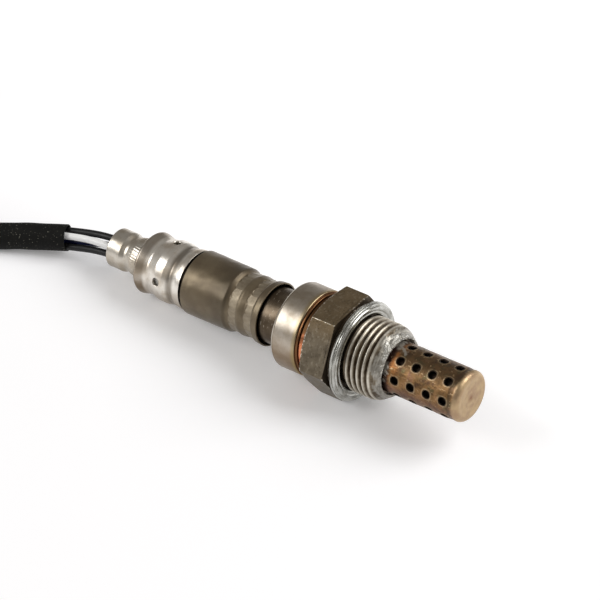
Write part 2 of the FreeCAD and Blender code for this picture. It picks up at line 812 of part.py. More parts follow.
pieces["plug_lock"] = lock.cut([block(pin_base - 1.0, 4.0, 1.7, 0.9, y, z) for y, z in pin_spots])
pins = [block(pin_base - 5.9, 5.9 + pin_reach, 1.58, 0.78, y, z) for y, z in pin_spots]
pieces["plug_pins"] = Part.makeCompound(pins)

# What the record needs

print("axis height", round(axis_height, 3), "tilt", math.degrees(tilt), "roll", math.degrees(roll))
print("middle", round(middle_x, 3), "mouth", mouth, "axis", math.cos(tilt), math.sin(tilt))
print("thread mount", placed((thread_start + thread_end) / 2.0, 0, 0), "seat", placed(-gasket_bead, 0, 0))
print("plug opening", plug_x + pin_base + pin_reach, plug_x + mouth_x, plug_y, hollow_width, hollow_height)

os.makedirs("parts", exist_ok=True)
for name in pieces:
    shape = pieces[name]
    if len(shape.Solids) == 1:
        shape = shape.Solids[0]
    box = shape.BoundBox
    heights = (round(box.ZMin, 2), round(box.ZMax, 2))
    print(name, shape.isValid(), shape.ShapeType, round(shape.Volume, 1), "z", heights)
    shape.exportStep("parts/" + name + ".step")
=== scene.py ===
import math
from functools import partial
import bpy
import numpy as np
from mathutils import Matrix, Vector


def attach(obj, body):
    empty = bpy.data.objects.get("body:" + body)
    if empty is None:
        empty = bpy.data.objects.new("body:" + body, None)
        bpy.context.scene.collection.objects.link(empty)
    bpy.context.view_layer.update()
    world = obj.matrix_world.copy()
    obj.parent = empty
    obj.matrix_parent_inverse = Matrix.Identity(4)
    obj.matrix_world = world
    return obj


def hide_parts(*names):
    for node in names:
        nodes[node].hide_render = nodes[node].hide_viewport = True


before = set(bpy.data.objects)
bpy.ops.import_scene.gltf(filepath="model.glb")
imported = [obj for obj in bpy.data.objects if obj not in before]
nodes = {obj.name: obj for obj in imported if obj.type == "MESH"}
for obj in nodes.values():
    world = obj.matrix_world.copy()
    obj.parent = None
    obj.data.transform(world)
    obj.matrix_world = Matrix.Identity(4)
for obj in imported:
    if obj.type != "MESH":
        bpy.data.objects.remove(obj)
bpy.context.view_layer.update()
mm = 0.001
print("frame loaded,", len(nodes), "nodes")

# How the sensor rests. Its own frame, in mm, has the gasket's middle at zero and the tip towards +X.
rest = {"tilt": 4.15193, "roll": 2.57781, "x": 20.617, "height": 11.831}
restTurn = (Matrix.Rotation(math.radians(-rest["tilt"]), 4, "Y")
            @ Matrix.Rotation(math.radians(rest["roll"]), 4, "X"))
restPlace = Matrix.Translation((rest["x"] * mm, 0, rest["height"] * mm)) @ restTurn @ Matrix.Scale(mm, 4)
restArray = np.array(restPlace)


# Points of the sensor's frame in mm, moved to where they rest in metres: turn, then shift.
def atRest(points):
    return points @ restArray[:3, :3].T + restArray[:3, 3]


# The camera stands where the drawn edges fall on the photograph's to about a pixel.
camera = {
    "azimuth": 37.653, "elevation": 39.719, "distance": 0.765, "lens": 205.5, "sensor": 36,
    "aim": (0.005137, -0.002694, 0.020645), "clipStart": 0.01,
}
turn, rise = math.radians(camera["azimuth"]), math.radians(camera["elevation"])
lookBack = Vector((math.sin(turn) * math.cos(rise), -math.cos(turn) * math.cos(rise), math.sin(rise)))
cameraData = bpy.data.cameras.new("camera")
cameraData.lens = camera["lens"]
cameraData.sensor_width = camera["sensor"]
cameraData.clip_start = camera["clipStart"]
cameraObject = bpy.data.objects.new("camera", cameraData)
bpy.context.collection.objects.link(cameraObject)
cameraObject.location = Vector(camera["aim"]) + lookBack * camera["distance"]
cameraObject.rotation_euler = lookBack.to_track_quat("Z", "Y").to_euler()
bpy.context.scene.camera = cameraObject
print("camera set")


# sRGB hex to linear: each channel below 0.04045 over 12.92, otherwise ((c + 0.055) / 1.055) to the power 2.4.
def linear(hexColour):
    channels = np.array([int(hexColour[i:i + 2], 16) / 255 for i in (1, 3, 5)])
    curved = ((channels + 0.055) / 1.055) ** 2.4
    return (*np.where(channels <= 0.04045, channels / 12.92, curved).tolist(), 1.0)


# Feeds a node's live inputs, in their order or by name, each with a value, a hex colour or a node's output.
def feed(node, *inOrder, **named):
    sockets = list(zip([socket for socket in node.inputs if socket.enabled], inOrder))
    sockets += [(node.inputs[name.replace("_", " ")], source) for name, source in named.items()]
    for socket, source in sockets:
        if isinstance(source, bpy.types.NodeSocket):
            node.id_data.links.new(source, socket)
        else:
            socket.default_value = linear(source) if isinstance(source, str) else source


# Adds a node. Names in lower case are its settings, the others its inputs. Gives the output asked for, or the first.
def addNode(tree, kind, *inOrder, output=None, stops=(), **named):
    node = tree.nodes.new("ShaderNode" + kind)
    for name in [name for name in named if name[0].islower()]:
        setattr(node, name, named.pop(name))
    for index, (place, colour) in enumerate(stops):
        elements = node.color_ramp.elements
        element = elements[index] if index < len(elements) else elements.new(place)
        element.position = place
        element.color = linear(colour)
    feed(node, *inOrder, **named)
    return node.outputs[output] if output else next(socket for socket in node.outputs if socket.enabled)


# Settings that many nodes share
soft = {"interpolation_type": "SMOOTHSTEP"}  # of a map range, which clamps too
mixed = {"data_type": "RGBA"}  # of a mix of two colours
times = {"operation": "MULTIPLY"}
plus = {"operation": "ADD"}
absolute = {"operation": "ABSOLUTE"}


# The scale of a pattern along each axis: 1 over its features' lengths in mm.
def across(*lengths):
    return tuple(1 / length for length in lengths)


# Lays colours over a base, one after another. Each layer has the value that shows it, its colour and, unless the value
# is the mix's factor as it is, the range that the value comes from and the one that it goes to.
def layered(add, colour, *layers):
    for shown, over, *ranged in layers:
        factor = add("MapRange", shown, *ranged, **soft) if ranged else shown
        colour = add("Mix", factor, colour, over, **mixed)
    return colour


# A material, what adds nodes to it, its shader, and the coordinates that it reads, in mm: the sensor's own, with X
# along its axis, or those of the floor. Noise takes coordinates, 1 / size in mm, detail and roughness, in that order.
def startMaterial(name, onSensor=True, **sockets):
    material = bpy.data.materials.new(name)
    material.use_nodes = True
    add = partial(addNode, material.node_tree)
    shader = material.node_tree.nodes["Principled BSDF"]
    feed(shader, **sockets)
    shift = (rest["x"] * mm, 0, rest["height"] * mm) if onSensor else (0, 0, 0)
    turned = tuple(restTurn.to_euler()) if onSensor else (0, 0, 0)
    place = add("Mapping", add("TexCoord", output="Object"), shift, turned, (mm, mm, mm), vector_type="TEXTURE")
    return material, add, shader, place


# A smooth random field, mostly from -1 to 1: a sum of cosine waves 0.7 to 1.5 times the wavelength, in mm, apart, with
# fixed random directions and phases.
def ripples(points, wavelength, seed, waves=14):
    random = np.random.default_rng(seed)
    ways = random.normal(size=(waves, 3))
    ways /= np.linalg.norm(ways, axis=1)[:, None] * wavelength * random.uniform(0.7, 1.5, (waves, 1))
    phases = random.uniform(0, 2 * np.pi, waves)
    return np.cos(2 * np.pi * points @ ways.T + phases).sum(axis=-1) * math.sqrt(2 / waves) / 1.6


# Goes smoothly from 0 at low to 1 at high: 3 t squared less 2 t cubed.
def smooth(value, low, high):
    t = np.clip((value - low) / (high - low), 0, 1)
    return t * t * (3 - 2 * t)


# A bell over a place: e to the minus square of the distance from it over its width.
def bell(value, middle, width):
    return np.exp(-((value - middle) / width) ** 2)


# A profile through corners (x, r, rounding). Each rounding is an arc tangent to both sides, whose centre lies on the
# corner's middle line at the rounding over the sine of half the corner's angle. Sides are divided at the step, and
# closed joins the last corner to the first.
def profile(corners, step=0.5, arcSteps=5, closed=False):
    corners = np.array(corners, float)
    count = len(corners)
    points = []
    for i in range(count):
        here, rounding = corners[i, :2], corners[i, 2]
        if rounding <= 0 or (not closed and i in (0, count - 1)):
            points.append(here[None])
            continue
        back, ahead = corners[i - 1, :2] - here, corners[(i + 1) % count, :2] - here
        back, ahead = back / np.linalg.norm(back), ahead / np.linalg.norm(ahead)
        half = math.acos(np.clip(back @ ahead, -1, 1)) / 2
        middle = (back + ahead) / np.linalg.norm(back + ahead)
        centre = here + middle * rounding / math.sin(half)
        first, last = here + back * rounding / math.tan(half), here + ahead * rounding / math.tan(half)
        t = np.linspace(0, 1, arcSteps + 1)[:, None]
        ray = (first - centre) * (1 - t) + (last - centre) * t
        points.append(centre + ray / np.linalg.norm(ray, axis=1)[:, None] * rounding)
    points = np.concatenate(points)
    if closed:
        points = np.concatenate([points, points[:1]])
    dense = []
    for a, b in zip(points[:-1], points[1:]):
        parts = max(1, int(np.ceil(np.linalg.norm(b - a) / step)))
        dense.append(a + (b - a) * np.arange(parts)[:, None] / parts)
    if not closed:
        dense.append(points[-1:])
    dense = np.concatenate(dense)
    return dense[:, 0], dense[:, 1]


# Points about the axis: x along it, r from it, and the angle counted up from the -Y side, so y is less r times the
# angle's cosine and z is r times its sine.
def around(x, r, angle):
    x, r, angle = np.broadcast_arrays(x, r, angle)
    return np.stack([x, -r * np.cos(angle), r * np.sin(angle)], axis=-1)


# The quads of a grid of points that closes across, and along too if it's wrapped. A quad with all its corners in a hole
# is left out.
def gridQuads(rows, columns, wrapAlong=False, inHole=None):
    i = np.arange(rows if wrapAlong else rows - 1)[:, None]
    j = np.arange(columns)[None]
    below, across = (i + 1) % rows, (j + 1) % columns
    quads = np.stack([i * columns + j, i * columns + across, below * columns + across, below * columns + j], axis=-1)
    quads = quads.reshape(-1, 4)
    return quads if inHole is None else quads[~inHole.reshape(-1)[quads].all(axis=1)]


# Six times the volume that quads enclose, with its sign: the triple products of the two triangles of each.
def signedVolume(points, quads):
    a, b, c, d = (points[quads[:, k]] for k in range(4))
    return (np.cross(b, c) * a).sum() + (np.cross(c, d) * a).sum()


# A mesh piece from points in metres and its faces. Points that no quad uses are left out, and quads whose signed volume
# is below zero are turned outwards.
def makePiece(name, points, quads, material, caps=(), sharp=35.0, values=None, extra=(), faceSlots=None):
    points = points.reshape(-1, 3)
    used = np.zeros(len(points), bool)
    used[quads.reshape(-1)] = True
    renumber = np.cumsum(used) - 1
    points, quads, caps = points[used], renumber[quads], [renumber[cap] for cap in caps]
    if signedVolume(points, quads) < 0:
        quads = quads[:, ::-1]
        caps = [cap[::-1] for cap in caps]
    mesh = bpy.data.meshes.new(name)
    loops = np.concatenate([quads.reshape(-1)] + caps)
    totals = np.concatenate([np.full(len(quads), 4), [len(cap) for cap in caps]]).astype(int)
    mesh.vertices.add(len(points))
    mesh.vertices.foreach_set("co", points.astype(np.float32).reshape(-1))
    mesh.loops.add(len(loops))
    mesh.loops.foreach_set("vertex_index", loops.astype(np.int32))
    mesh.polygons.add(len(totals))
    mesh.polygons.foreach_set("loop_start", (np.cumsum(totals) - totals).astype(np.int32))
    mesh.polygons.foreach_set("loop_total", totals.astype(np.int32))
    mesh.polygons.foreach_set("use_smooth", np.ones(len(totals), bool))
    mesh.update(calc_edges=True)
    for key, value in (values or {}).items():
        field = mesh.attributes.new(key, "FLOAT", "POINT")
        field.data.foreach_set("value", value.reshape(-1)[used].astype(np.float32))
    for item in [material, *extra]:
        mesh.materials.append(item)
    if faceSlots is not None:
        mesh.polygons.foreach_set("material_index", faceSlots.astype(np.int32))
    mesh.set_sharp_from_angle(angle=math.radians(sharp))
    piece = bpy.data.objects.new(name, mesh)
    bpy.context.collection.objects.link(piece)
    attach(piece, "root")
    return piece


# A finishing modifier: its kind and settings.
def finish(piece, kind, **settings):
    modifier = piece.modifiers.new(kind.lower(), kind)
    for key, value in settings.items():
        setattr(modifier, key, value)


# Four wires from their terminals through the grommet into the sheath: the node that each replaces, its length, the
# place where it leaves the grommet, and its route, all in metres. The routes are the part's own.
wires = {"radius": 0.000825, "turnsRound": 8}
wireRoutes = {
    "blackWireUpper": ("black_wire_a", 0.0353, (-0.050268, 0.000987, 0.008372), [
        (-0.038749, 0.000987, 0.009208), (-0.051415, 0.000987, 0.008288),
        (-0.062804, -0.000820, 0.006272), (-0.072775, -0.005260, 0.004908)]),
    "whiteWire": ("white_wire", 0.0344, (-0.050218, -0.001682, 0.007679), [
        (-0.038698, -0.001682, 0.008516), (-0.051365, -0.001682, 0.007596),
        (-0.062063, -0.002444, 0.006144), (-0.072035, -0.006884, 0.004780)]),
    "blueWire": ("blue_wire", 0.0351, (-0.050075, 0.001682, 0.005710), [
        (-0.038555, 0.001682, 0.006546), (-0.051222, 0.001682, 0.005626),
        (-0.062059, -0.001768, 0.003914), (-0.072031, -0.006208, 0.002549)]),
    "blackWireLower": ("black_wire_b", 0.0341, (-0.050025, -0.000987, 0.005017), [
        (-0.038505, -0.000987, 0.005854), (-0.051172, -0.000987, 0.004934),
        (-0.061336, -0.003329, 0.003707), (-0.071307, -0.007769, 0.002343)]),
}


# PVC wire insulation, extruded: smooth with faint handling marks, of a low gloss, the black duller.
def insulation(name, colour, worn, roughness=0.3):
    material, add, shader, place = startMaterial(name, onSensor=False, IOR=1.45)
    marks = add("TexNoise", place, 1 / 1.6, 4.0, 0.55)
    feed(shader, Base_Color=layered(add, colour, (marks, worn, 0.52, 0.75, 0.0, 0.6)),
         Roughness=add("MapRange", marks, 0.3, 0.7, roughness - 0.06, roughness + 0.06, **soft),
         Normal=add("Bump", Height=add("TexNoise", place, 1 / 0.5, 3.0, 0.55), Distance=0.02 * mm))
    return material


blackInsulation = insulation("blackPvcInsulation", "#050506", "#0f1013", 0.46)
insulations = {
    "black_wire_a": (blackInsulation, "black_insulation"),
    "black_wire_b": (blackInsulation, "black_insulation"),
    "white_wire": (insulation("whitePvcInsulation", "#f6f6f5", "#e2e4e9"), "white_insulation"),
    "blue_wire": (insulation("bluePvcInsulation", "#141c48", "#222c5c"), "blue_insulation"),
}


# A curve with one open spline of the third order through the control points.
def softLine(name, points):
    curve = bpy.data.curves.new(name, "CURVE")
    curve.dimensions = "3D"
    spline = curve.splines.new("NURBS")
    spline.points.add(len(points) - 1)
    for point, place in zip(spline.points, points):
        point.co = (*place, 1.0)
    spline.order_u = 3
    spline.use_endpoint_u = True
    spline.resolution_u = 16
    line = bpy.data.objects.new(name, curve)
    bpy.context.collection.objects.link(line)
    return line


for name, (node, length, leaves, points) in wireRoutes.items():
    wire = softLine(name, points)
    wire.data.bevel_depth = wires["radius"]
    wire.data.bevel_resolution = wires["turnsRound"]
    wire.data.use_fill_caps = True
    wire.data.materials.append(insulations[node][0])
    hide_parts(node)
    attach(wire, "root")
print("wires laid")

# Sheath over the wires: down to the floor, out to the left, round a loose loop and back to the plug. The route is
# the part's own, in metres, and the other sizes are in mm, but for the length, in metres.
sheath = {
    "radius": 3.25, "bore": 2.85, "depth": 9.0, "length": 0.228, "columns": 48, "step": 0.8, "boreStep": 1.0,
    "wrinkle": 0.05, "wrinkleLength": 6.0, "lip": (2.92, 3.05, 3.13), "lipOut": 0.12, "pathEvery": 4,
}
sheathRoute = [
    (-0.063883, -0.002900, 0.004800), (-0.073401, -0.007138, 0.003498), (-0.080617, -0.012516, 0.003250),
    (-0.092030, -0.016225, 0.003250), (-0.109986, -0.017480, 0.003250), (-0.152986, -0.017480, 0.003250),
    (-0.196879, -0.014411, 0.003250), (-0.208357, -0.008308, 0.003250), (-0.212607, -0.000947, 0.003250),
    (-0.212607, 0.007553, 0.003250), (-0.208357, 0.014915, 0.003250), (-0.200996, 0.019165, 0.003250),
    (-0.179009, 0.019932, 0.003250), (-0.171014, 0.019653, 0.004650), (-0.164014, 0.019653, 0.006300),
    (-0.156014, 0.019653, 0.006300),
]
guide = softLine("sheathGuide", sheathRoute)
guideMesh = bpy.data.meshes.new_from_object(guide)
sheathLine = np.array([vertex.co for vertex in guideMesh.vertices])
bpy.data.objects.remove(guide)
bpy.data.meshes.remove(guideMesh)


# Points at even steps along a line, in metres, by interpolating each coordinate over the length so far.
def evenly(line, step):
    far = np.concatenate([[0], np.cumsum(np.linalg.norm(np.diff(line, axis=0), axis=1))])
    count = int(far[-1] / step) + 1
    at = np.linspace(0, far[-1], count)
    return np.stack([np.interp(at, far, line[:, k]) for k in range(3)], axis=1), at


# A tube's rings round a line, of radii in mm: each ring stands across the line's direction, with its first point as
# near upright as it can be, so the rings don't twist.
def rings(line, radius, columns):
    ahead = np.gradient(line, axis=0)
    ahead /= np.linalg.norm(ahead, axis=1)[:, None]
    side = np.cross(ahead, np.array([0, 0, 1.0]))
    side /= np.linalg.norm(side, axis=1)[:, None]
    over = np.cross(side, ahead)
    angle = np.linspace(0, 2 * np.pi, columns, endpoint=False)
    outwards = side[:, None] * np.cos(angle)[None, :, None] + over[:, None] * np.sin(angle)[None, :, None]
    return line[:, None] + np.broadcast_to(radius, (len(line), columns))[..., None] * mm * outwards


# Cross-linked polyolefin sleeve over the wires, extruded and slightly wrinkled by handling: matt black,
# with pale dust specks and fine lengthwise scuffs.
sleeving, add, shader, place = startMaterial(
    "mattBlackSleeving", onSensor=False, Roughness=0.74, IOR=1.45, Specular_IOR_Level=0.25)
scuffs = add("TexNoise", place, 1 / 2.2, 5.0, 0.55)
dust = add("Math", add("MapRange", add("TexNoise", place, 1 / 0.45, 1.0, 0.55), 0.66, 0.74, **soft), 0.7, **times)
feed(shader, Base_Color=layered(add, "#080806", (scuffs, "#1a1915", 0.5, 0.8, 0.0, 0.5), (dust, "#77756a")),
     Normal=add("Bump", Height=add("TexNoise", place, 1 / 0.6, 4.0, 0.55), Distance=0.07 * mm))

line, along = evenly(sheathLine, sheath["step"] * mm)
angle = np.linspace(0, 2 * np.pi, sheath["columns"], endpoint=False)
flow = np.stack(np.broadcast_arrays(along[:, None] / mm, 3.0 * np.cos(angle), 3.0 * np.sin(angle)), axis=-1)
radii = sheath["radius"] + sheath["wrinkle"] * (ripples(flow, sheath["wrinkleLength"], 3) - 1)
outside = rings(line, radii, sheath["columns"])
bored = evenly(line[along < (sheath["depth"] + sheath["step"] / 2) * mm], sheath["boreStep"] * mm)[0]
inside = rings(bored, sheath["bore"], sheath["columns"])[::-1]
mouthLine = np.concatenate([line[:1] + (line[:1] - line[1:2]) * sheath["lipOut"], line[1:2]])
mouth = np.concatenate([rings(mouthLine, r, sheath["columns"])[:1] for r in sheath["lip"]])
grid = np.concatenate([inside, mouth, outside])
firstRing = np.arange(sheath["columns"])
ends = [firstRing[::-1], (len(grid) - 1) * sheath["columns"] + firstRing]
cable = makePiece("cableSheath", grid, gridQuads(*grid.shape[:2]), sleeving, caps=ends)
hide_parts("cable_sheath")
print("sheath laid,", round(float(along[-1]) / mm, 1), "mm")

# Stainless protection tube, heat tinted to bronze by a run in: mottled brown, olive and rose patches, rusty orange
# by its root and a smoother tan end with turned rings. Painted shade darkens its top, its underside, which is also
# redder, its root by the nose, a ring in the waist and the edges of the holes, and the pale rims round the holes are
# a painted highlight. The deposit makes it satin, not bright.
heatTinted, add, shader, place = startMaterial("heatTintedSteel", Metallic=0.75)
alongAxis, height = (add("SeparateXYZ", place, output=name) for name in "XZ")
spot, rim, holeEdgeShade, paste = (
    add("Attribute", attribute_name=name, output="Fac") for name in ("spot", "rim", "holeEdgeShade", "paste"))
olive, rust, ragged, tan, dark, satin = (
    add("TexNoise", add("Mapping", place, Location=shift, Scale=across(size, size, size)), 1.0, detail, roughness)
    for shift, size, detail, roughness in (
        ((7, 3, 1), 2.4, 3.0, 0.55), ((1, 5, 9), 1.8, 3.0, 0.55), ((2, 2, 8), 1.0, 3.0, 0.55),
        ((4, 1, 6), 3.0, 3.0, 0.55), ((9, 2, 5), 0.9, 4.0, 0.7), ((3, 3, 3), 1.4, 3.0, 0.55)))
scars = add("TexNoise", add("Mapping", place, Scale=across(1.0, 0.5, 0.5)), 1.0, 3.0, 0.55)
cloud = add("TexNoise", place, 1 / 2.6, 5.0, 0.62)
clouded = add("Math", height, add("Math", cloud, 4.0, **times), **plus)
patches = add("ValToRGB", cloud, stops=[
    (0.34, "#573f2a"), (0.44, "#755836"), (0.52, "#8a6840"), (0.60, "#94704c"), (0.70, "#946b54")])
ember = add("Math", add("MapRange", alongAxis, 14.8, 11.4, **soft), add("MapRange", rust, 0.42, 0.58, **soft), **times)
# Painted shade on the root, where the tube meets the nose.
root = add("Math", alongAxis, add("Math", ragged, 1.6, **times), **plus)
# Painted shade: a dark ring in the waist before the end.
fromFold = add("Math", add("Math", alongAxis, 27.75, operation="SUBTRACT"), **absolute)
end = add("Math", alongAxis, add("Math", cloud, 0.9, **times), **plus)
dark = add("Math", add("MapRange", dark, 0.54, 0.64, 0.0, 0.5, **soft),
           add("MapRange", alongAxis, 28.8, 27.5, **soft), **times)
turnedRings = add("TexWave", place, 0.22, 1.5, 2.0, wave_type="RINGS", rings_direction="X", output="Fac")
onEnd = add("Math", turnedRings, add("MapRange", alongAxis, 29.6, 29.8, **soft), **times)
# Painted shade: darker towards the top, and darker and redder towards the bottom, by height; the pale rims round the
# holes are a painted highlight.
tinted = layered(
    add, patches, (olive, "#5f5637", 0.52, 0.64, 0.0, 0.8), (clouded, "#3f3428", 5.0, 8.2, 0.0, 0.6),
    (add("Math", ember, 0.7, **times), "#a0642f"), (clouded, "#745144", 3.2, 0.5, 0.0, 0.55),
    (root, "#3d2820", 12.7, 11.6), (fromFold, "#4b3a2a", 0.75, 0.2, 0.0, 0.6),
    (end, layered(add, "#bba17c", (tan, "#aa8e70", 0.4, 0.66)), 28.7, 29.5), (spot, "#7d5236"), (dark, "#49301f"),
    (scars, "#bfa37d", 0.61, 0.70, 0.0, 0.6), (rim, "#b7a180"), (holeEdgeShade, "#17110c"),
    (add("Math", onEnd, 0.17, **times), "#8d7152"), (paste, "#b5b0a5"))
dents = add("Bump", Height=add("TexNoise", place, 1 / 3.5, 2.0, 0.55), Distance=0.10 * mm)
feed(shader, Base_Color=tinted, Roughness=add("MapRange", satin, 0.35, 0.65, 0.34, 0.48, **soft),
     Normal=add("Bump", Height=add("TexNoise", place, 1 / 0.6, 4.0, 0.55), Distance=0.06 * mm, Normal=dents))

# Forged steel hexagon with a thin dark oxide film: olive taupe with fine scratches, browner on top as painted shade,
# and almost black on its front face as painted shade between it and the gasket. The edges are worn to bright metal in
# short dashes, brighter on the upper side, where it is partly a painted highlight.
forgedSteel, add, shader, place = startMaterial("oxidisedForgedSteel", Metallic=0.8)
alongAxis, height = (add("SeparateXYZ", place, output=name) for name in "XZ")
cloud = add("TexNoise", place, 1 / 2.6, 5.0, 0.55)
specks = add("TexNoise", place, 1 / 0.45, 3.0, 0.55)
scratches = add("TexNoise", add("Mapping", place, Location=(3, 1, 4), Scale=across(0.6, 0.9, 0.9)), 1.0, 5.0, 0.55)
scratches = add("Math", add("MapRange", scratches, 0.5, 0.7, 0.0, 0.3, **soft),
                add("MapRange", alongAxis, -1.95, -2.05, **soft), **times)
broken = add("Math", add("TexNoise", place, 1 / 0.7, 4.0, 0.7), 2.4, **times)
worn = add("Math", add("Attribute", attribute_name="wear", output="Fac"), broken, **plus)
milling = add("TexNoise", add("Mapping", place, Scale=across(0.35, 2.8, 2.8)), 1.0, 2.0, 0.55)
milled = add("Bump", Height=milling, Distance=0.012 * mm)
# Painted shade: browner towards the top, and almost black on the front face, between the hexagon and the gasket.
oxide = layered(
    add, add("ValToRGB", cloud, stops=[(0.3, "#5e5445"), (0.5, "#6e6454"), (0.7, "#7c715f")]),
    (height, "#77654a", 6.0, 10.5, 0.0, 0.75), (alongAxis, "#3d3227", -2.0, -1.88, 0.0, 0.75),
    (specks, "#3e362a", 0.58, 0.68, 0.0, 0.55), (scratches, "#a69c89"), (worn, "#ddd5c6", 1.95, 2.35))
feed(shader, Base_Color=oxide, Roughness=add("MapRange", cloud, 0.35, 0.65, 0.38, 0.50, **soft),
     Normal=add("Bump", Height=add("TexNoise", place, 1 / 0.9, 4.0, 0.55), Distance=0.03 * mm, Normal=milled))

# Rolled steel thread: dark brown in the roots as painted shade, grey on the flanks, crests lighter, rubbed bright and
# with a painted highlight, and grey anti-seize paste on the nose. The paste is a thin film with streaks round the axis,
# thicker on the top and flecked there with bright metal, whose bright flecks are partly painted glints.
threadSteel, add, shader, place = startMaterial("rolledThreadSteel")
paste, thick, crest = (add("Attribute", attribute_name=name, output="Fac") for name in ("paste", "thick", "crest"))
brown = add("TexNoise", place, 1 / 1.7, 3.0, 0.55)
# Crests lighter than the roots: rubbing and a painted highlight.
rubbed = add("Math", crest, add("Math", add("TexNoise", place, 1 / 1.1, 4.0, 0.55), 0.6, **times), **plus)
streaks, rolled = (
    add("TexNoise", add("Mapping", place, Scale=across(thin, wide, wide)), 1.0, 3.0, 0.55)
    for thin, wide in ((0.30, 1.8), (0.35, 1.4)))
# White flecks in the thick paste: metal flecks, partly painted glints.
flecks = add("TexNoise", add("Mapping", place, Location=(6, 2, 2), Scale=across(0.5, 0.5, 0.5)), 1.0, 3.0, 0.55)
flecks = add("Math", add("MapRange", flecks, 0.56, 0.66, **soft), thick, **times)
greyPaste = layered(add, "#8f8c84", (streaks, "#bab7ae", 0.36, 0.64), (flecks, "#e6e6e2"))
lumps = add("Bump", Height=add("Math", add("TexNoise", place, 1 / 0.7, 4.0, 0.55), thick, **times), Distance=0.22 * mm)
steel = layered(add, "#5a4e3f", (brown, "#776c5b", 0.4, 0.65), (rubbed, "#b0a899", 0.35, 0.95),
                (rubbed, "#ddd7ca", 0.95, 1.4), (paste, greyPaste))
feed(shader, Base_Color=steel, Metallic=add("MapRange", paste, 0.2, 0.9, 0.85, 0.5, **soft),
     Roughness=add("MapRange", add("TexNoise", place, 1 / 0.8, 3.0, 0.55), 0.35, 0.65, 0.30, 0.44, **soft),
     Normal=add("Bump", Height=rolled, Distance=0.03 * mm, Normal=lumps))

# Zinc-plated folded steel gasket: satin silver grey, rubbed round the axis.
gasketSteel, add, shader, place = startMaterial("platedGasketSteel", Metallic=1.0)
rubbed = add("TexNoise", add("Mapping", place, Scale=across(0.25, 2.5, 2.5)), 1.0, 3.0, 0.55)
smears = add("TexNoise", place, 1 / 3.5, 3.0, 0.55)
zinc = layered(add, "#c6c6c1", (rubbed, "#a2a19a", 0.4, 0.62), (smears, "#8d8a80", 0.48, 0.7, 0.0, 0.5))
feed(shader, Base_Color=zinc, Roughness=add("MapRange", smears, 0.35, 0.7, 0.20, 0.30, **soft),
     Normal=add("Bump", Height=rubbed, Distance=0.006 * mm))

# Copper ring, pressed: pinkish orange low on the side and brown above: oxide, with painted shade on the top.
pressedCopper, add, shader, place = startMaterial("pressedCopper", Metallic=1.0)
# Brown by height: oxide, and painted shade on the top.
uneven = add("Math", add("TexNoise", place, 1 / 1.3, 4.0, 0.55), 5.0, **times)
uneven = add("Math", add("SeparateXYZ", place, output="Z"), uneven, **plus)
oxide = add("MapRange", uneven, 6.2, 8.8, **soft)
brown = add("TexNoise", add("Mapping", place, Location=(4, 4, 2), Scale=across(0.7, 0.7, 0.7)), 1.0, 4.0, 0.55)
feed(shader, Base_Color=layered(add, "#dc8c64", (brown, "#8f5232", 0.5, 0.62, 0.0, 0.7), (oxide, "#5b422b")),
     Roughness=add("MapRange", oxide, 0.0, 1.0, 0.26, 0.46, **soft),
     Normal=add("Bump", Height=add("TexNoise", place, 1 / 0.8, 3.0, 0.55), Distance=0.02 * mm))


# Turned or drawn stainless steel: fine marks run round the axis, 0.15 mm apart, and the film on it varies.
def stainless(name, light, dull, roughness, marks=0.012, metallic=1.0):
    material, add, shader, place = startMaterial(name, Metallic=metallic)
    film = add("TexNoise", place, 1 / 4.5, 5.0, 0.55)
    lines = add("TexNoise", add("Mapping", place, Location=(2, 7, 1), Scale=across(0.22, 2.64, 2.64)), 1.0, 3.0, 0.55)
    specks = add("TexNoise", add("Mapping", place, Location=(5, 5, 5), Scale=across(0.4, 0.4, 0.4)), 1.0, 2.0, 0.55)
    turning = add("TexNoise", add("Mapping", place, Scale=across(0.15, 4.5, 4.5)), 1.0, 2.0, 0.55)
    turning = add("Bump", Height=turning, Distance=marks * mm)
    feed(shader, Roughness=add("MapRange", film, 0.35, 0.7, roughness - 0.03, roughness + 0.06, **soft),
         Normal=add("Bump", Height=add("TexNoise", place, 1 / 2.2, 3.0, 0.55), Distance=0.018 * mm, Normal=turning))
    colour = layered(add, light, (film, dull, 0.36, 0.66), (lines, dull, 0.5, 0.7, 0.0, 0.3),
                     (specks, "#5d5348", 0.66, 0.74, 0.0, 0.3))
    return material, add, shader, place, colour


# Collar: satin stainless, darker tan towards the bottom as painted shade, a painted highlight and a thin painted shade
# line at its rear edge, and a straw heat tint towards its front edge.
satinCollar, add, shader, place, colour = stainless("satinStainlessCollar", "#bcb3a6", "#9c9080", 0.37)
alongAxis, height = (add("SeparateXYZ", place, output=name) for name in "XZ")
# Darker tan towards the bottom, by height with a cloud over it: painted shade.
cloud = add("Math", add("TexNoise", place, 1 / 3.0, 4.0, 0.55), 4.0, **times)
clouded = add("Math", height, cloud, **plus)
# Painted rear bevel: a lighter band behind as its highlight and a thin dark line as shade where it meets the side.
fromBevelLine = add("Math", add("Math", alongAxis, 17.6, **plus), **absolute)
feed(shader, Base_Color=layered(
    add, colour, (clouded, "#8d7459", 7.5, -1.0, 0.0, 0.65), (alongAxis, "#e8e1d4", -17.7, -17.8, 0.0, 0.6),
    (fromBevelLine, "#6f6352", 0.18, 0.06, 0.0, 0.5), (alongAxis, "#a48f5c", -12.9, -11.8, 0.0, 0.6),
    (alongAxis, "#7a573a", -11.6, -11.45)))

# Rear cover: drawn stainless, satin, faintly warm. Painted shade darkens its lower side, the flange's rim and the
# valley, the neck is darker and greyer, and the edge of its mouth, in the gap under the sleeve, is painted near black
# as shade.
drawnCover, add, shader, place, colour = stainless("drawnStainlessCover", "#eee9e0", "#c8bcab", 0.33, 0.008)
alongAxis, height = (add("SeparateXYZ", place, output=name) for name in "XZ")
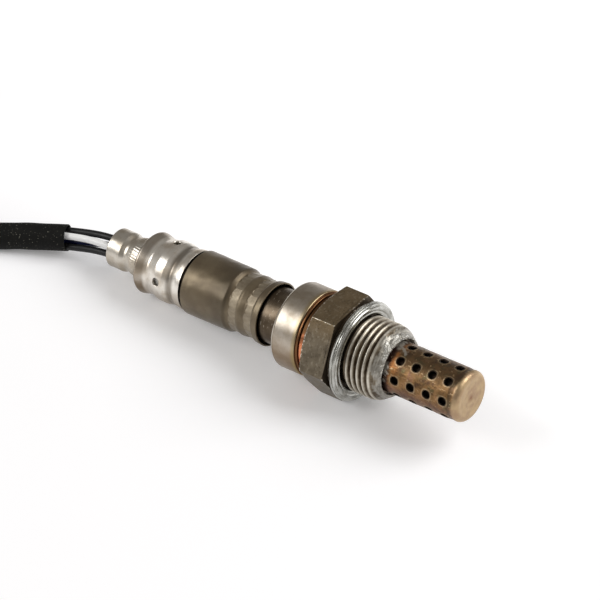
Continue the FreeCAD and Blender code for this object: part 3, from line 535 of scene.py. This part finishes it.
# Browner towards the bottom, by height with a cloud over it: painted shade.
cloud = add("Math", add("TexNoise", place, 1 / 3.0, 4.0, 0.55), 5.0, **times)
clouded = add("Math", height, cloud, **plus)
# Painted shade on the flange's rim.
flange = add("Math", add("MapRange", alongAxis, -57.9, -58.8, **soft),
             add("MapRange", alongAxis, -61.1, -60.8, **soft), **times)
flange = add("Math", flange, add("MapRange", clouded, 1.6, 3.6, 0.9, 0.6, **soft), **times)
# Painted shade in the valley behind the mouth.
valley = add("Math", add("Math", alongAxis, 50.4, **plus), **absolute)
# The last layer paints the mouth's edge near black: shade in the gap under the sleeve.
feed(shader, Base_Color=layered(
    add, colour, (clouded, "#8b7a66", 5.0, -1.5, 0.0, 0.62), (flange, "#75644f"),
    (alongAxis, "#99907f", -61.0, -61.4, 0.0, 0.4), (valley, "#6a5f50", 1.4, 0.4, 0.0, 0.7),
    (alongAxis, "#16130f", -47.45, -47.3)))

# Inner case: browned stainless tube with short scratches, dark where the sleeve shades it.
brownedCase, add, shader, place, colour = stainless("brownedStainlessTube", "#6f6354", "#524638", 0.38)
scratches = add("TexNoise", add("Mapping", place, Scale=across(0.36, 1.44, 1.44)), 1.0, 5.0, 0.55)
feed(shader, Base_Color=layered(add, colour, (scratches, "#b5aa99", 0.6, 0.68, 0.0, 0.7),
                                (add("SeparateXYZ", place, output="X"), "#0e0c0a", -23.9, -24.6)))

# Outer sleeve: olive chromated steel under a thin film of oil, satin, with a painted highlight in the jaw marks and a
# band of painted shade before them.
oliveSleeve, add, shader, place, colour = stainless("oliveChromatedSteel", "#776a54", "#665945", 0.44, 0.01, 0.8)
alongAxis = add("SeparateXYZ", place, output="X")
# Painted shade: a dark band before the first ring of jaw marks.
paintedShadeBand = add("Math", add("MapRange", alongAxis, -40.5, -35.2, 0.0, 0.5, **soft),
           add("MapRange", alongAxis, -33.4, -34.0, **soft), **times)
uneven = add("TexNoise", add("Mapping", place, Scale=across(1.6, 0.8, 0.8)), 1.0, 4.0, 0.55)
# The jaw marks painted lighter: a painted highlight.
rubbed = add("Math", add("Attribute", attribute_name="marks", output="Fac"),
             add("MapRange", uneven, 0.3, 0.7, 0.4, 1.0, **soft), **times)
rubbed = add("Math", rubbed, 0.5, **times)
feed(shader, Base_Color=layered(add, colour, (paintedShadeBand, "#3d3427"), (rubbed, "#b3a792")), Coat_Weight=0.35,
     Coat_Roughness=0.36)


# A plain finish with a fine grain: colour, a second colour for its mottling, and the grain's size.
def plainFinish(name, colour, mottle, roughness, metallic=0.0, size=0.8, depth=0.03, onSensor=True):
    material, add, shader, place = startMaterial(name, onSensor=onSensor, Metallic=metallic)
    cloud = add("TexNoise", place, 1 / (size * 3), 4.0, 0.55)
    feed(shader, Base_Color=layered(add, colour, (cloud, mottle, 0.4, 0.65)),
         Roughness=add("MapRange", cloud, 0.35, 0.7, roughness - 0.06, roughness + 0.08, **soft),
         Normal=add("Bump", Height=add("TexNoise", place, 1 / size, 2.0, 0.55), Distance=depth * mm))
    return material


nodeFinishes = {
    "copper_ring": pressedCopper,
    "collar": satinCollar,
    "inner_case": brownedCase,
    "inner_protection_tube": plainFinish("sootedInnerTube", "#3a2c20", "#241b14", 0.5, 0.6),
    "sensing_element": plainFinish("zirconiaCeramic", "#e6e2d8", "#cfc9bb", 0.5),
    "heater_rod": plainFinish("aluminaHeaterCeramic", "#b9b6ae", "#a29e95", 0.55),
    "seat_washer": plainFinish("plainSteelWasher", "#9b9892", "#85817a", 0.35, 1.0),
    "talc_seal": plainFinish("pressedTalc", "#b7b9ae", "#9fa196", 0.8),
    "insulator_ring": plainFinish("whiteAluminaRing", "#e9e7e1", "#d6d3cb", 0.45),
    "packing_ring": plainFinish("softSteelRing", "#8e8a84", "#79756e", 0.4, 1.0),
    "breather_filter": plainFinish("sinteredPtfeFilter", "#f1efe9", "#e0ddd5", 0.7, size=0.4, depth=0.06),
    "grommet": plainFinish("blackFluororubber", "#1c1b1a", "#2a2927", 0.6),
    "terminal_separator": plainFinish("steatiteSeparator", "#e2ded4", "#cdc8bb", 0.5),
    "terminal_holder": plainFinish("steatiteHolder", "#dfdbd0", "#cac5b8", 0.5),
    "spring_washer": plainFinish("springSteelWasher", "#77736c", "#625e57", 0.35, 1.0),
    "heater_terminals": plainFinish("nickelPlatedHeaterTerminals", "#bdb8ac", "#a49f93", 0.3, 1.0),
    "signal_terminal": plainFinish("nickelPlatedSignalTerminal", "#bfbaae", "#a6a195", 0.3, 1.0),
    "ground_terminal": plainFinish("nickelPlatedGroundTerminal", "#bcb7ab", "#a39e92", 0.3, 1.0),
    "plug_boot": plainFinish("blackSiliconeBoot", "#191918", "#262624", 0.55, onSensor=False),
    "plug_housing": plainFinish("mouldedGreyNylon", "#3a3c3e", "#44474a", 0.45, size=0.25, depth=0.02, onSensor=False),
    "plug_lock": plainFinish("mouldedOchreNylon", "#8f7a3a", "#7e6b31", 0.45, size=0.25, depth=0.02, onSensor=False),
    "plug_pins": plainFinish("tinPlatedBrassPins", "#cfccc4", "#b7b4ab", 0.25, 1.0, onSensor=False),
}
for name, finishMaterial in nodeFinishes.items():
    slots = nodes[name].data.materials
    if not slots:
        slots.append(finishMaterial)
    for index in range(len(slots)):
        slots[index] = finishMaterial
print("finishes made")

noHole = 9.0  # mm, the way to a hole where none is near
sliver = 1e-6  # mm, for rounding errors


# Opens round holes in a grid about the axis. Its rows lie at lineX and at standOff from the middle, holeX, of their
# holes. Round each centre the grid's squares of half size m are drawn towards circles of radius m * hole / core, fully
# inside the core and not at all at the reach, both counted in cells. Gives each point's x and turn, its way from the
# hole's rim, noHole in rows with none near, and whether it lies in a hole.
def pierced(lineX, standOff, holeX, sizes):
    cell = 2 * np.pi * sizes["radius"] / sizes["columns"]
    core, reach = sizes["core"] * cell, sizes["reach"] * cell
    perHole = sizes["columns"] // sizes["holesRound"]
    offsets = np.arange(sizes["columns"]) % perHole - perHole // 2
    nearest = (np.arange(sizes["columns"]) - offsets) * 2 * np.pi / sizes["columns"]
    u, v = np.broadcast_arrays(offsets * cell, standOff[:, None])
    m = np.maximum(np.abs(u), np.abs(v))
    weight = 1 - smooth(m, core, reach)
    toCircle = m * sizes["holeRadius"] / core / (np.hypot(u, v) + 1e-9)
    newU, newV = (way * (1 - weight) + way * toCircle * weight for way in (u, v))
    near = np.abs(v) < reach + sliver
    x = np.where(near, holeX[:, None] + newV, lineX[:, None])
    firstTurn = math.radians(sizes["firstAngle"] - 180 / sizes["holesRound"])  # the first hole stands half a sector on
    turnAt = nearest + np.where(near, newU, u) / sizes["radius"] + firstTurn
    rim = np.where(near, np.hypot(newU, newV) - sizes["holeRadius"], noHole)
    return x, turnAt, rim, m <= core + sliver


# Outer protection tube with four rings of holes. Its edges round the holes are lifted, its end is drawn in to a waist
# and rounded, and paste lies on it near its root and in one streak.
tube = {
    "radius": 6.1, "wall": 0.4, "front": 8.0, "end": 29.95, "rounding": 1.3, "holeRadius": 1.0, "holeFirst": 13.25,
    "holePitch": 4.32, "rings": 4, "holesRound": 8, "firstAngle": 15.0, "columns": 192, "core": 5, "reach": 8,
    "frontRows": 12, "betweenRows": 5, "endRows": 5, "rimLift": 0.05, "rimWidth": 0.16, "waist": 27.75,
    "waistDepth": 0.10, "waistWidth": 0.5, "dents": 0.035, "faceRadii": (4.3, 3.6, 2.8, 2.0, 1.4, 1.0, 0.7, 0.4, 0.15),
    "dish": 0.12, "faceDents": 0.015, "edge": 0.05, "streakTurn": 88, "streakRoot": 12, "streakLean": 6.0,
    "streakFront": 14.0, "pasteFront": 10.55, "pasteTurn": 80, "patchTurn": 85,
}
cell = 2 * np.pi * tube["radius"] / tube["columns"]
nearRows = np.arange(-tube["reach"], tube["reach"] + 1) * cell
gap = tube["holePitch"] - 2 * tube["reach"] * cell
between = nearRows[-1] + gap * np.arange(1, tube["betweenRows"] + 1) / (tube["betweenRows"] + 1)
ringX = tube["holeFirst"] + tube["holePitch"] * np.arange(tube["rings"])
inRings = slice(None, -tube["betweenRows"])  # no rows between follow the last ring
rowX = (ringX[:, None] + np.concatenate([nearRows, between])).reshape(-1)[inRings]
standOff = np.tile(np.concatenate([nearRows, np.full(tube["betweenRows"], noHole)]), tube["rings"])[inRings]
holeX = np.repeat(ringX, len(nearRows) + tube["betweenRows"])[inRings]
before = np.linspace(tube["front"], rowX[0], tube["frontRows"], endpoint=False)
after = np.linspace(rowX[-1], tube["end"] - tube["rounding"], tube["endRows"] + 1)[1:]
added = (tube["frontRows"], tube["endRows"])
x, turnAt, rim, inHole = pierced(
    np.concatenate([before, rowX, after]), np.pad(standOff, added, constant_values=noHole),
    np.pad(holeX, added, mode="edge"), tube)
r = tube["radius"] - tube["rimLift"] * (1 - bell(np.clip(rim, 0, None), 0, tube["rimWidth"]))
r -= tube["waistDepth"] * bell(x, tube["waist"], tube["waistWidth"])
spots = around(x, r, turnAt)
r += tube["dents"] * ripples(spots, 5.0, 11)
arc = np.linspace(0, np.pi / 2, 9)[1:]
faceR = np.array(tube["faceRadii"])
endX = np.concatenate([
    tube["end"] - tube["rounding"] * (1 - np.sin(arc)), tube["end"] - tube["dish"] * smooth(-faceR, -4.7, -3.4)])
endR = np.concatenate([tube["radius"] - tube["rimLift"] - tube["rounding"] * (1 - np.cos(arc)), faceR])
cap = around(endX[:, None], endR[:, None], turnAt[-1:])
cap[..., 0] += tube["faceDents"] * ripples(cap, 3.5, 12) * smooth(-endR, -5.5, -4.5)[:, None]
grid = np.concatenate([around(x, r, turnAt), cap])
bare = np.zeros(cap.shape[:2])
# Pale rims round the holes: a painted highlight.
paintedRimHighlight = 0.75 * bell(rim, 0.22, 0.12) * (0.7 + 0.3 * ripples(spots, 1.1, 13))
paintedRimHighlight = np.concatenate([paintedRimHighlight, bare]).clip(0, 1)
# Dark at the holes' edges: painted shade that widens their dark insides.
holeEdgeShade = np.concatenate([bell(rim, 0, 0.1), bare])
endSpot = np.concatenate([np.zeros(x.shape), 0.85 * bell(np.hypot(cap[..., 1], cap[..., 2]), 0, 0.8)])
fromRoot = grid[..., 0]
upTurn = np.degrees(np.arctan2(grid[..., 2], -grid[..., 1]))
streakTurn = tube["streakTurn"] - (fromRoot - tube["streakRoot"]) * tube["streakLean"]
fromStreak = np.abs(upTurn - streakTurn) + 6.0 * ripples(grid, 0.8, 21)
streak = 0.6 - 0.6 * smooth(fromStreak, 2.0, 7.0)
streak *= smooth(tube["streakFront"] - fromRoot + 0.4 * ripples(grid, 0.8, 22), 0, 0.5)
patches = smooth(ripples(grid, 2.2, 25) + 0.6 * np.cos(np.radians(upTurn - tube["patchTurn"])), 0.1, 0.5)
ragged = tube["pasteFront"] + 0.4 * np.cos(np.radians(upTurn - tube["pasteTurn"])) + 0.4 * ripples(grid, 1.1, 23)
pasteOnTube = np.clip(np.maximum(streak, 0.85 * smooth(ragged - fromRoot, -0.3, 0.1) * patches), 0, 1)
lift = pasteOnTube * (0.07 + 0.05 * ripples(grid, 0.9, 24)) / (np.hypot(grid[..., 1], grid[..., 2]) + sliver)
grid[..., 1:] *= 1 + lift[..., None]
protectionTube = makePiece(
    "protectionTube", atRest(grid), gridQuads(*grid.shape[:2], inHole=np.concatenate([inHole, bare > 0])), heatTinted,
    caps=[grid[..., 0].size - tube["columns"] + np.arange(tube["columns"])],
    extra=[nodeFinishes["inner_protection_tube"]],
    values={"paste": pasteOnTube, "rim": paintedRimHighlight, "holeEdgeShade": holeEdgeShade, "spot": endSpot})
finish(protectionTube, "SOLIDIFY", thickness=tube["wall"] * mm, offset=-1.0, use_even_offset=True, material_offset=1,
       material_offset_rim=1)
finish(protectionTube, "BEVEL", width=tube["edge"] * mm, segments=2, limit_method="ANGLE",
       angle_limit=math.radians(60))
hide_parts("outer_protection_tube")
print("protection tube pierced")

# Hexagon with its boss, bore and rolled rear lip. Its columns, at these steps in degrees from a corner, stand close
# together at the six corners, where the fillets are. The rim of its front face lies frontRim within the corners.
hexagon = {
    "apothem": 11.0, "front": -1.84, "rear": -8.9, "frontCorner": -2.04, "rearCorner": -8.1, "pad": 10.4, "seat": -0.95,
    "shank": 8.0, "boss": 8.9, "rearRim": 11.05, "frontRim": 0.3, "edge": 0.16, "rollOver": 0.38,
    "rollOverShares": (0, 0, 0.4, 1, 0, 0, 0, 0), "cornerRounding": 0.25,
    "steps": (0.0, 0.3, 0.62, 1.0, 1.6, 2.6, 4.0, 6.0, 9.0, 13.0, 18.0, 24.0, 30.0),
    "inside": [
        (0.9, 8.0, 0), (0.9, 4.95, 0), (-1.1, 4.95, 0), (-2.3, 5.8, 0), (-5.5, 5.8, 0), (-7.1, 7.35, 0),
        (-16.2, 7.35, 0), (-16.2, 6.8, 0.2), (-17.0, 6.8, 0.2), (-17.0, 8.9, 0.3), (-9.2, 8.9, 0)],
}
cornerR = hexagon["apothem"] / math.cos(math.radians(30))
steps = np.array(hexagon["steps"])
oneSide = np.concatenate([steps, (60 - steps[1:-1])[::-1]])
hexTurns = np.radians(np.concatenate([oneSide + 60 * k for k in range(6)]))
fromCorner = np.abs((np.degrees(hexTurns) + 30) % 60 - 30)
flatR = hexagon["apothem"] / np.cos(np.radians(30 - fromCorner))
filletR = hexagon["cornerRounding"]
filletAt = (hexagon["apothem"] - filletR) / math.cos(math.radians(30))
aside = filletAt * np.sin(np.radians(fromCorner))
circle = filletAt * np.cos(np.radians(fromCorner)) + np.sqrt(np.clip(filletR ** 2 - aside ** 2, 0, None))
flatR = np.where(np.abs(aside) < filletR * 0.5, np.minimum(flatR, circle), flatR)
frontRim = cornerR - hexagon["frontRim"]
chain = [
    (hexagon["rear"], hexagon["boss"]),
    (hexagon["rear"], np.minimum(hexagon["rearRim"], flatR)),
    (np.interp(flatR, [hexagon["rearRim"], cornerR], [hexagon["rear"], hexagon["rearCorner"]]), flatR),
    (np.interp(flatR, [frontRim, cornerR], [hexagon["front"], hexagon["frontCorner"]]), flatR),
    (hexagon["front"], np.minimum(frontRim, flatR)),
    (hexagon["front"], hexagon["pad"]),
    (hexagon["seat"], hexagon["pad"]),
    (hexagon["seat"], hexagon["shank"]),
]
keys = np.array([np.stack(np.broadcast_arrays(x, r, flatR)[:2], axis=-1) for x, r in chain])


# Rows over a chain of corners, column by column: each corner becomes five rows, two on each side of it within the
# edge's width and one pulled in between, so the edge is slightly rounded and the flats stay flat. Divided sides get
# six rows more. Gives the rows and how much each is worn.
def softenedRows(keys, edges, divided):
    rows, wear = [keys[0]], [0.0]
    for i in range(1, len(keys) - 1):
        back, ahead = keys[i - 1] - keys[i], keys[i + 1] - keys[i]
        backLength, aheadLength = (np.linalg.norm(way, axis=1)[:, None] for way in (back, ahead))
        a = back / np.maximum(backLength, 1e-9) * np.minimum(edges[i][:, None], 0.4 * backLength)
        b = ahead / np.maximum(aheadLength, 1e-9) * np.minimum(edges[i][:, None], 0.4 * aheadLength)
        rows += [keys[i] + a * 1.5, keys[i] + a, keys[i] + (a + b) * 0.25, keys[i] + b, keys[i] + b * 1.5]
        wear += [0.35, 0.8, 1.0, 0.8, 0.35]
        if i in divided:
            rows += [keys[i] + ahead * share for share in (0.08, 0.2, 0.4, 0.6, 0.8, 0.92)]
            wear += [0.0] * 6
    return np.array(rows + [keys[-1]]), np.array(wear + [0.0])


flatMiddle = smooth(cornerR - flatR, 0.0, cornerR - hexagon["apothem"])  # 1 where the flat is nearest to the axis
edges = hexagon["edge"] + hexagon["rollOver"] * np.outer(hexagon["rollOverShares"], flatMiddle)
hexRows, hexWear = softenedRows(keys, edges, divided=(2,))
bore = np.stack(profile(hexagon["inside"], step=3.0, arcSteps=3), axis=-1)
shape = np.concatenate([hexRows, np.broadcast_to(bore[:, None], (len(bore), len(hexTurns), 2))])
# The upper corner and the upper edges get more of this brightness: worn metal, partly a painted highlight.
upperCorner = bell(np.degrees(hexTurns), 60, 12)  # the corner that shows most is worn most
cornerWear = bell(fromCorner, 0, 0.9) * (np.abs(shape[..., 1] - flatR) < 0.2) * (0.35 + 0.65 * upperCorner)
edgeShare = np.where(shape[..., 0] > -5, 0.45 + 0.4 * smooth(np.degrees(hexTurns), 75, 100), 0.85)
wear = np.clip(np.concatenate([hexWear, np.zeros(len(bore))])[:, None] * edgeShare + cornerWear, 0, 1)
hexGrid = around(shape[..., 0], shape[..., 1], hexTurns)

# Rolled thread and nose. The ridge winds up along X, runs out towards the gasket on the upper side and is buried
# towards the nose, where paste fills it and lies in lumps.
thread = {
    "pitch": 1.5, "crest": 9.0, "depth": 0.86, "first": 0.9, "start": 1.0, "end": 9.2, "phase": 0.635, "runOut": 0.9,
    "upper": 80.0, "fill": 0.75, "columns": 360, "rows": 180,
    "envelopeX": (0.9, 6.8, 8.3, 9.2), "envelopeR": (9.0, 9.0, 8.55, 7.9),
    "nose": [(9.2, 7.85, 0), (10.0, 7.35, 0.4), (10.3, 7.0, 0.15), (10.3, 6.6, 0.12), (9.2, 6.6, 0)],
    "inside": [(9.2, 6.15, 0), (8.4, 6.15, 0), (8.4, 6.85, 0), (7.6, 6.85, 0), (7.6, 4.95, 0), (0.9, 4.95, 0)],
}
noseX, noseR = profile(thread["nose"], step=0.12)
threadX = np.linspace(thread["first"], thread["end"], thread["rows"], endpoint=False)
turns = np.linspace(0, 2 * np.pi, thread["columns"], endpoint=False)
upper = 0.5 + 0.5 * np.cos(turns - math.radians(thread["upper"]))  # 1 on the upper side, 0 below
x = np.concatenate([threadX, noseX])[:, None] + 0 * turns
phase = (x / thread["pitch"] + turns / (2 * np.pi) + thread["phase"]) % 1.0
level = np.abs(2 * phase - 1)  # 1 on the crest, 0 in the root
ridge = (0.5 - 0.5 * np.cos(np.pi * level)) ** 0.65
envelope = np.interp(x, thread["envelopeX"], thread["envelopeR"])
root = thread["crest"] - thread["depth"]
fade = smooth(x, thread["start"] - 0.1, thread["start"] + 0.2)
runOut = thread["runOut"] * upper * (1 - smooth(x, thread["start"], thread["start"] + thread["pitch"]))
r = np.minimum(root + fade * thread["depth"] * np.maximum(ridge, runOut), envelope)
r[len(threadX):] = noseR[:, None]
spots = around(x, r, turns)
film = smooth(x + 0.9 * upper + 0.5 * ripples(spots, 3.2, 31) + 0.3 * ripples(spots, 0.9, 32), 8.7, 9.8)
thick = smooth(x + 3.0 * (upper - 0.93) + 0.5 * ripples(spots, 1.8, 33) + 0.2 * ripples(spots, 0.7, 36), 9.0, 9.9)
paste = np.clip(0.7 * film + 0.3 * thick, 0, 1)
fill = np.minimum(envelope, root + thread["fill"] * thread["depth"])
fromFirst = np.arange(len(r))[:, None]
toLast = fromFirst[::-1]
r = np.where(fromFirst < len(threadX), np.maximum(r, r * (1 - film) + fill * film), r)
lump = 0.02 * film + thick * (0.12 + 0.10 * ripples(spots, 1.3, 34) + 0.05 * ripples(spots, 0.5, 35))
r = r + lump * smooth(toLast, 2, 9)
x = x + lump * smooth(fromFirst, len(threadX) + 2, len(threadX) + 12) * smooth(toLast, 2, 6)
# Crest: the share of the painted highlight and the rubbing, 1 on the crest.
crest = smooth(level, 0.25, 1.0) * (x < thread["end"])
inside = np.stack(profile(thread["inside"], step=2.5), axis=-1)
threadGrid = np.concatenate([around(x, r, turns), around(inside[:, :1], inside[:, 1:], turns)])


# A closed grid's quads, turned outwards where their signed volume is below zero.
def outwards(grid):
    quads = gridQuads(*grid.shape[:2], wrapAlong=True)
    return quads if signedVolume(grid.reshape(-1, 3), quads) > 0 else quads[:, ::-1]


hexQuads, threadQuads = outwards(hexGrid), outwards(threadGrid)
onHexagon, onInside = np.zeros(wear.size), np.zeros(len(inside) * thread["columns"])
housingValues = {"wear": np.concatenate([wear.reshape(-1), np.zeros(threadGrid[..., 0].size)])}
for name, value in (("paste", paste), ("crest", crest), ("thick", thick)):
    housingValues[name] = np.concatenate([onHexagon, value.reshape(-1), onInside])
threadedHousing = makePiece(
    "threadedHousing", atRest(np.concatenate([hexGrid.reshape(-1, 3), threadGrid.reshape(-1, 3)])),
    np.concatenate([hexQuads, threadQuads + wear.size]), forgedSteel, extra=[threadSteel], sharp=40,
    faceSlots=np.repeat([0, 1], [len(hexQuads), len(threadQuads)]), values=housingValues)
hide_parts("housing")
print("housing threaded")

# Folded sealing ring with two creases, slightly uneven
gasket = {
    "columns": 256, "wave": 0.035, "unevenness": 0.03,
    "outline": [
        (-0.95, 9.5, 0.3), (-0.95, 10.95, 0.2), (-0.62, 11.62, 0.5), (-0.02, 11.86, 0.25), (0.14, 11.80, 0.06),
        (0.20, 11.45, 0.04), (0.28, 11.66, 0.06), (0.62, 11.62, 0.2), (0.80, 11.25, 0.1), (0.70, 11.0, 0.08),
        (0.95, 10.75, 0.15), (0.93, 10.2, 0.3), (0.72, 9.9, 0.2), (0.86, 9.55, 0.15), (0.75, 9.12, 0.1),
        (-0.2, 9.12, 0.2)],
}
gasketX, gasketR = (line[:, None] for line in profile(gasket["outline"], step=0.15, closed=True))
turns = np.linspace(0, 2 * np.pi, gasket["columns"], endpoint=False)
x = gasketX + gasket["wave"] * np.cos(3 * turns + 0.6) * smooth(gasketX, -0.6, 0.6)
uneven = ripples(around(x, gasketR, turns), 4.0, 41)
grid = around(x + gasket["unevenness"] * uneven * smooth(gasketX, -0.5, 0.5), gasketR, turns)
foldedGasket = makePiece("foldedGasket", atRest(grid), gridQuads(*grid.shape[:2], wrapAlong=True), gasketSteel,
                         sharp=70)
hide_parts("gasket")
print("gasket folded")

# Outer sleeve with two rings of jaw marks: each mark is a flat that starts at a steep foot and rises forward, and no
# two stand quite alike.
sleeve = {
    "feet": (-33.1, -28.55), "ridge": -30.1, "crimp": 7.08, "rise": 0.25, "width": 2.3, "jaws": 20, "columns": 320,
    "footScatter": 0.22, "footCurve": 0.45, "depthScatter": 0.03, "unevenness": 0.02, "unevenFrom": (25.0, 26.0),
    "unevenTo": (45, 46),
    "outside": [
        (-24.4, 7.37, 0), (-24.4, 7.7, 0.1), (-25.7, 7.6, 0.5), (-28.4, 7.08, 0.3), (-28.7, 7.08, 0.2),
        (-30.1, 7.33, 0.4), (-32.95, 7.08, 0.3), (-33.25, 7.08, 0.2), (-34.3, 7.7, 0.8), (-44.42, 7.8, 0),
        (-46.42, 7.8, 0.1), (-46.42, 7.47, 0)],
    "inside": [
        (-46.42, 7.47, 0), (-44.42, 7.47, 0), (-34.6, 7.37, 0.5), (-33.5, 6.7, 0.2), (-28.05, 6.7, 0.3),
        (-25.7, 7.27, 0.3), (-24.4, 7.37, 0)],
}
turns = np.linspace(0, 2 * np.pi, sleeve["columns"], endpoint=False)
sector = 2 * np.pi / sleeve["jaws"]
jaw = np.floor(turns / sector + 0.5).astype(int) % sleeve["jaws"]
off = (turns + sector / 2) % sector - sector / 2
jitter = np.random.default_rng(5).uniform(-1, 1, (2, sleeve["jaws"]))
slope = sleeve["rise"] / (sleeve["ridge"] - sleeve["feet"][0])
x, r = (line[:, None] + 0 * turns for line in profile(sleeve["outside"], step=0.11, arcSteps=6))
marks = np.zeros_like(x)
for index, foot in enumerate(sleeve["feet"]):
    footAt = foot + sleeve["footScatter"] * jitter[index][jaw] + sleeve["footCurve"] * (off / (sector / 2)) ** 2
    middle = sleeve["crimp"] * math.cos(sector / 2) + (x - foot) * slope
    plane = (middle + sleeve["depthScatter"] * jitter[1 - index][jaw]) / np.cos(0.7 * off)
    markEnd = foot + sleeve["width"]
    within = smooth(x, footAt - 0.05, footAt + 0.05) * (1 - smooth(x, markEnd - 0.2, markEnd + 0.3))
    r = np.where(r > plane, r * (1 - within) + plane * within, r)
    marks = np.maximum(marks, within)
uneven = ripples(around(x, r, turns), 3.0, 51)
r += sleeve["unevenness"] * uneven * smooth(-x, *sleeve["unevenFrom"]) * (1 - smooth(-x, *sleeve["unevenTo"]))
wallX, wallR = (line[1:-1, None] for line in profile(sleeve["inside"], step=1.0, arcSteps=3))
grid = np.concatenate([around(x, r, turns), around(wallX, wallR, turns)])
# The jaw marks' share, which carries their painted highlight.
marks = np.concatenate([marks, np.zeros((len(wallX), len(turns)))])
crimpedSleeve = makePiece("crimpedSleeve", atRest(grid), gridQuads(*grid.shape[:2], wrapAlong=True), oliveSleeve,
                          values={"marks": marks})
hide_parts("outer_sleeve")
print("sleeve crimped")

# Rear cover with four breathing holes in its bulge, a flange, and a neck crimped into small pleats. The outline starts
# inside the sleeve.
cover = {
    "wall": 0.4, "holeX": -54.05, "holeRadius": 1.0, "holesRound": 4, "firstAngle": 14.6, "radius": 7.5,
    "columns": 240, "core": 5, "reach": 8, "pleats": 44, "pleatDepth": 0.09, "pleatTwist": 1.2, "crimpDents": 0.03,
    "dents": 0.012, "pleatsFrom": (61.6, 62.8), "pleatsTo": (64.2, 65.6), "neckUnder": 6, "crimp": 69,
    "bodyFrom": (48.5, 50), "bodyTo": (59.5, 60.2),
    "outline": [
        (-43.5, 7.1, 0), (-47.25, 7.1, 0.05), (-47.4, 7.4, 0.1), (-48.5, 7.36, 0.5), (-50.6, 6.98, 0.9),
        (-52.5, 7.5, 0.8), (-54.7, 7.5, 0.8), (-57.2, 6.8, 0.25), (-57.6, 6.8, 0.25), (-60.2, 7.48, 0.1),
        (-60.95, 7.48, 0.6), (-60.95, 4.75, 0.5), (-64.2, 4.75, 0.8), (-65.9, 4.3, 0.6), (-66.5, 4.3, 0.6),
        (-67.6, 4.75, 0.6), (-71.3, 4.75, 0.15), (-71.3, 4.4, 0)],
}
coverX, coverR = profile(cover["outline"], step=0.28, arcSteps=6)
cell = 2 * np.pi * cover["radius"] / cover["columns"]
holeRows = cover["holeX"] + np.arange(cover["reach"], -cover["reach"] - 1, -1) * cell
before, behind = coverX > holeRows[0] + 0.02, coverX < holeRows[-1] - 0.02
rising = np.argsort(-coverX[:-1])[::-1]
bulgeX, bulgeR = coverX[rising], coverR[rising]
lineX = np.concatenate([coverX[before], holeRows, coverX[behind]])
lineR = np.concatenate([coverR[before], np.interp(holeRows, bulgeX, bulgeR), coverR[behind]])
standOff = np.pad(holeRows - cover["holeX"], (before.sum(), behind.sum()), constant_values=noHole)
x, turnAt, rim, inHole = pierced(lineX, standOff, np.full(len(lineX), cover["holeX"]), cover)
r = np.where(rim < noHole, np.interp(x, bulgeX, bulgeR), lineR[:, None])
neck = smooth(-x, *cover["pleatsFrom"]) * (1 - smooth(-x, *cover["pleatsTo"])) * (r < cover["neckUnder"])
pleat = 0.5 + 0.5 * np.cos(cover["pleats"] * turnAt + cover["pleatTwist"] * (x + 63))
r = r - cover["pleatDepth"] * neck * pleat * (0.7 + 0.3 * ripples(around(x, r, turnAt), 3.0, 61))
r += cover["crimpDents"] * ripples(around(x, r, turnAt), 5.0, 62) * (np.abs(x + cover["crimp"]) < 2.0)
onBody = smooth(-x, *cover["bodyFrom"]) * (1 - smooth(-x, *cover["bodyTo"]))
r += cover["dents"] * ripples(around(x, r, turnAt), 5.0, 63) * onBody
grid = around(x, r, turnAt)
rearCover = makePiece("rearCover", atRest(grid), gridQuads(*grid.shape[:2], inHole=inHole), drawnCover,
                      sharp=50)
finish(rearCover, "SOLIDIFY", thickness=cover["wall"] * mm, offset=-1.0)
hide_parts("rear_cover")
print("cover drawn")

# Floor of matt white paper. What the camera and the metal see of it is lifted to white, more so behind the sensor, and
# the shadow stays.
floorSize = 3.0
edge = floorSize / 2
floorMesh = bpy.data.meshes.new("floor")
floorMesh.from_pydata([(-edge, -edge, 0), (edge, -edge, 0), (edge, edge, 0), (-edge, edge, 0)], [], [(0, 1, 2, 3)])
floor = bpy.data.objects.new("floor", floorMesh)
bpy.context.collection.objects.link(floor)
paper = bpy.data.materials.new("whitePaperFloor")
paper.use_nodes = True
add = partial(addNode, paper.node_tree)
seen = add("Math", add("LightPath", output="Is Camera Ray"), add("LightPath", output="Is Glossy Ray"),
           operation="MAXIMUM")
seen = add("Math", seen, add("LightPath", output="Is Transmission Ray"), operation="MAXIMUM")
behind = add("SeparateXYZ", add("TexCoord", output="Object"), output="Y")
lifted = add("MapRange", behind, -0.005, 0.045, 0.18, 0.42, **soft)
feed(paper.node_tree.nodes["Principled BSDF"], Base_Color="#f2f2f4", Roughness=0.9, Emission_Color="#ffffff",
     Emission_Strength=add("Math", seen, lifted, **times))
floorMesh.materials.append(paper)

world = bpy.data.worlds.new("studio")
bpy.context.scene.world = world
world.use_nodes = True
feed(world.node_tree.nodes["Background"], Color="#f5f0ea", Strength=0.30)

# A softbox at the front on the cable's side gives the streak along the metal. A larger one behind, on the tip's side,
# throws the soft shadow towards the camera.
lamps = {
    "frontSoftbox": {"place": (-0.53, -0.54, 0.50), "size": 0.50, "power": 3.2},
    "backSoftbox": {"place": (0.54, 0.42, 0.68), "size": 0.70, "power": 7.2},
}
for name, lamp in lamps.items():
    light = bpy.data.lights.new(name, "AREA")
    light.shape = "SQUARE"
    light.size = lamp["size"]
    light.energy = lamp["power"]
    lampObject = bpy.data.objects.new(name, light)
    bpy.context.collection.objects.link(lampObject)
    lampObject.location = lamp["place"]
    lampObject.rotation_euler = Vector(lamp["place"]).to_track_quat("Z", "Y").to_euler()
bpy.context.scene.view_settings.view_transform = "Standard"
print("studio lit")
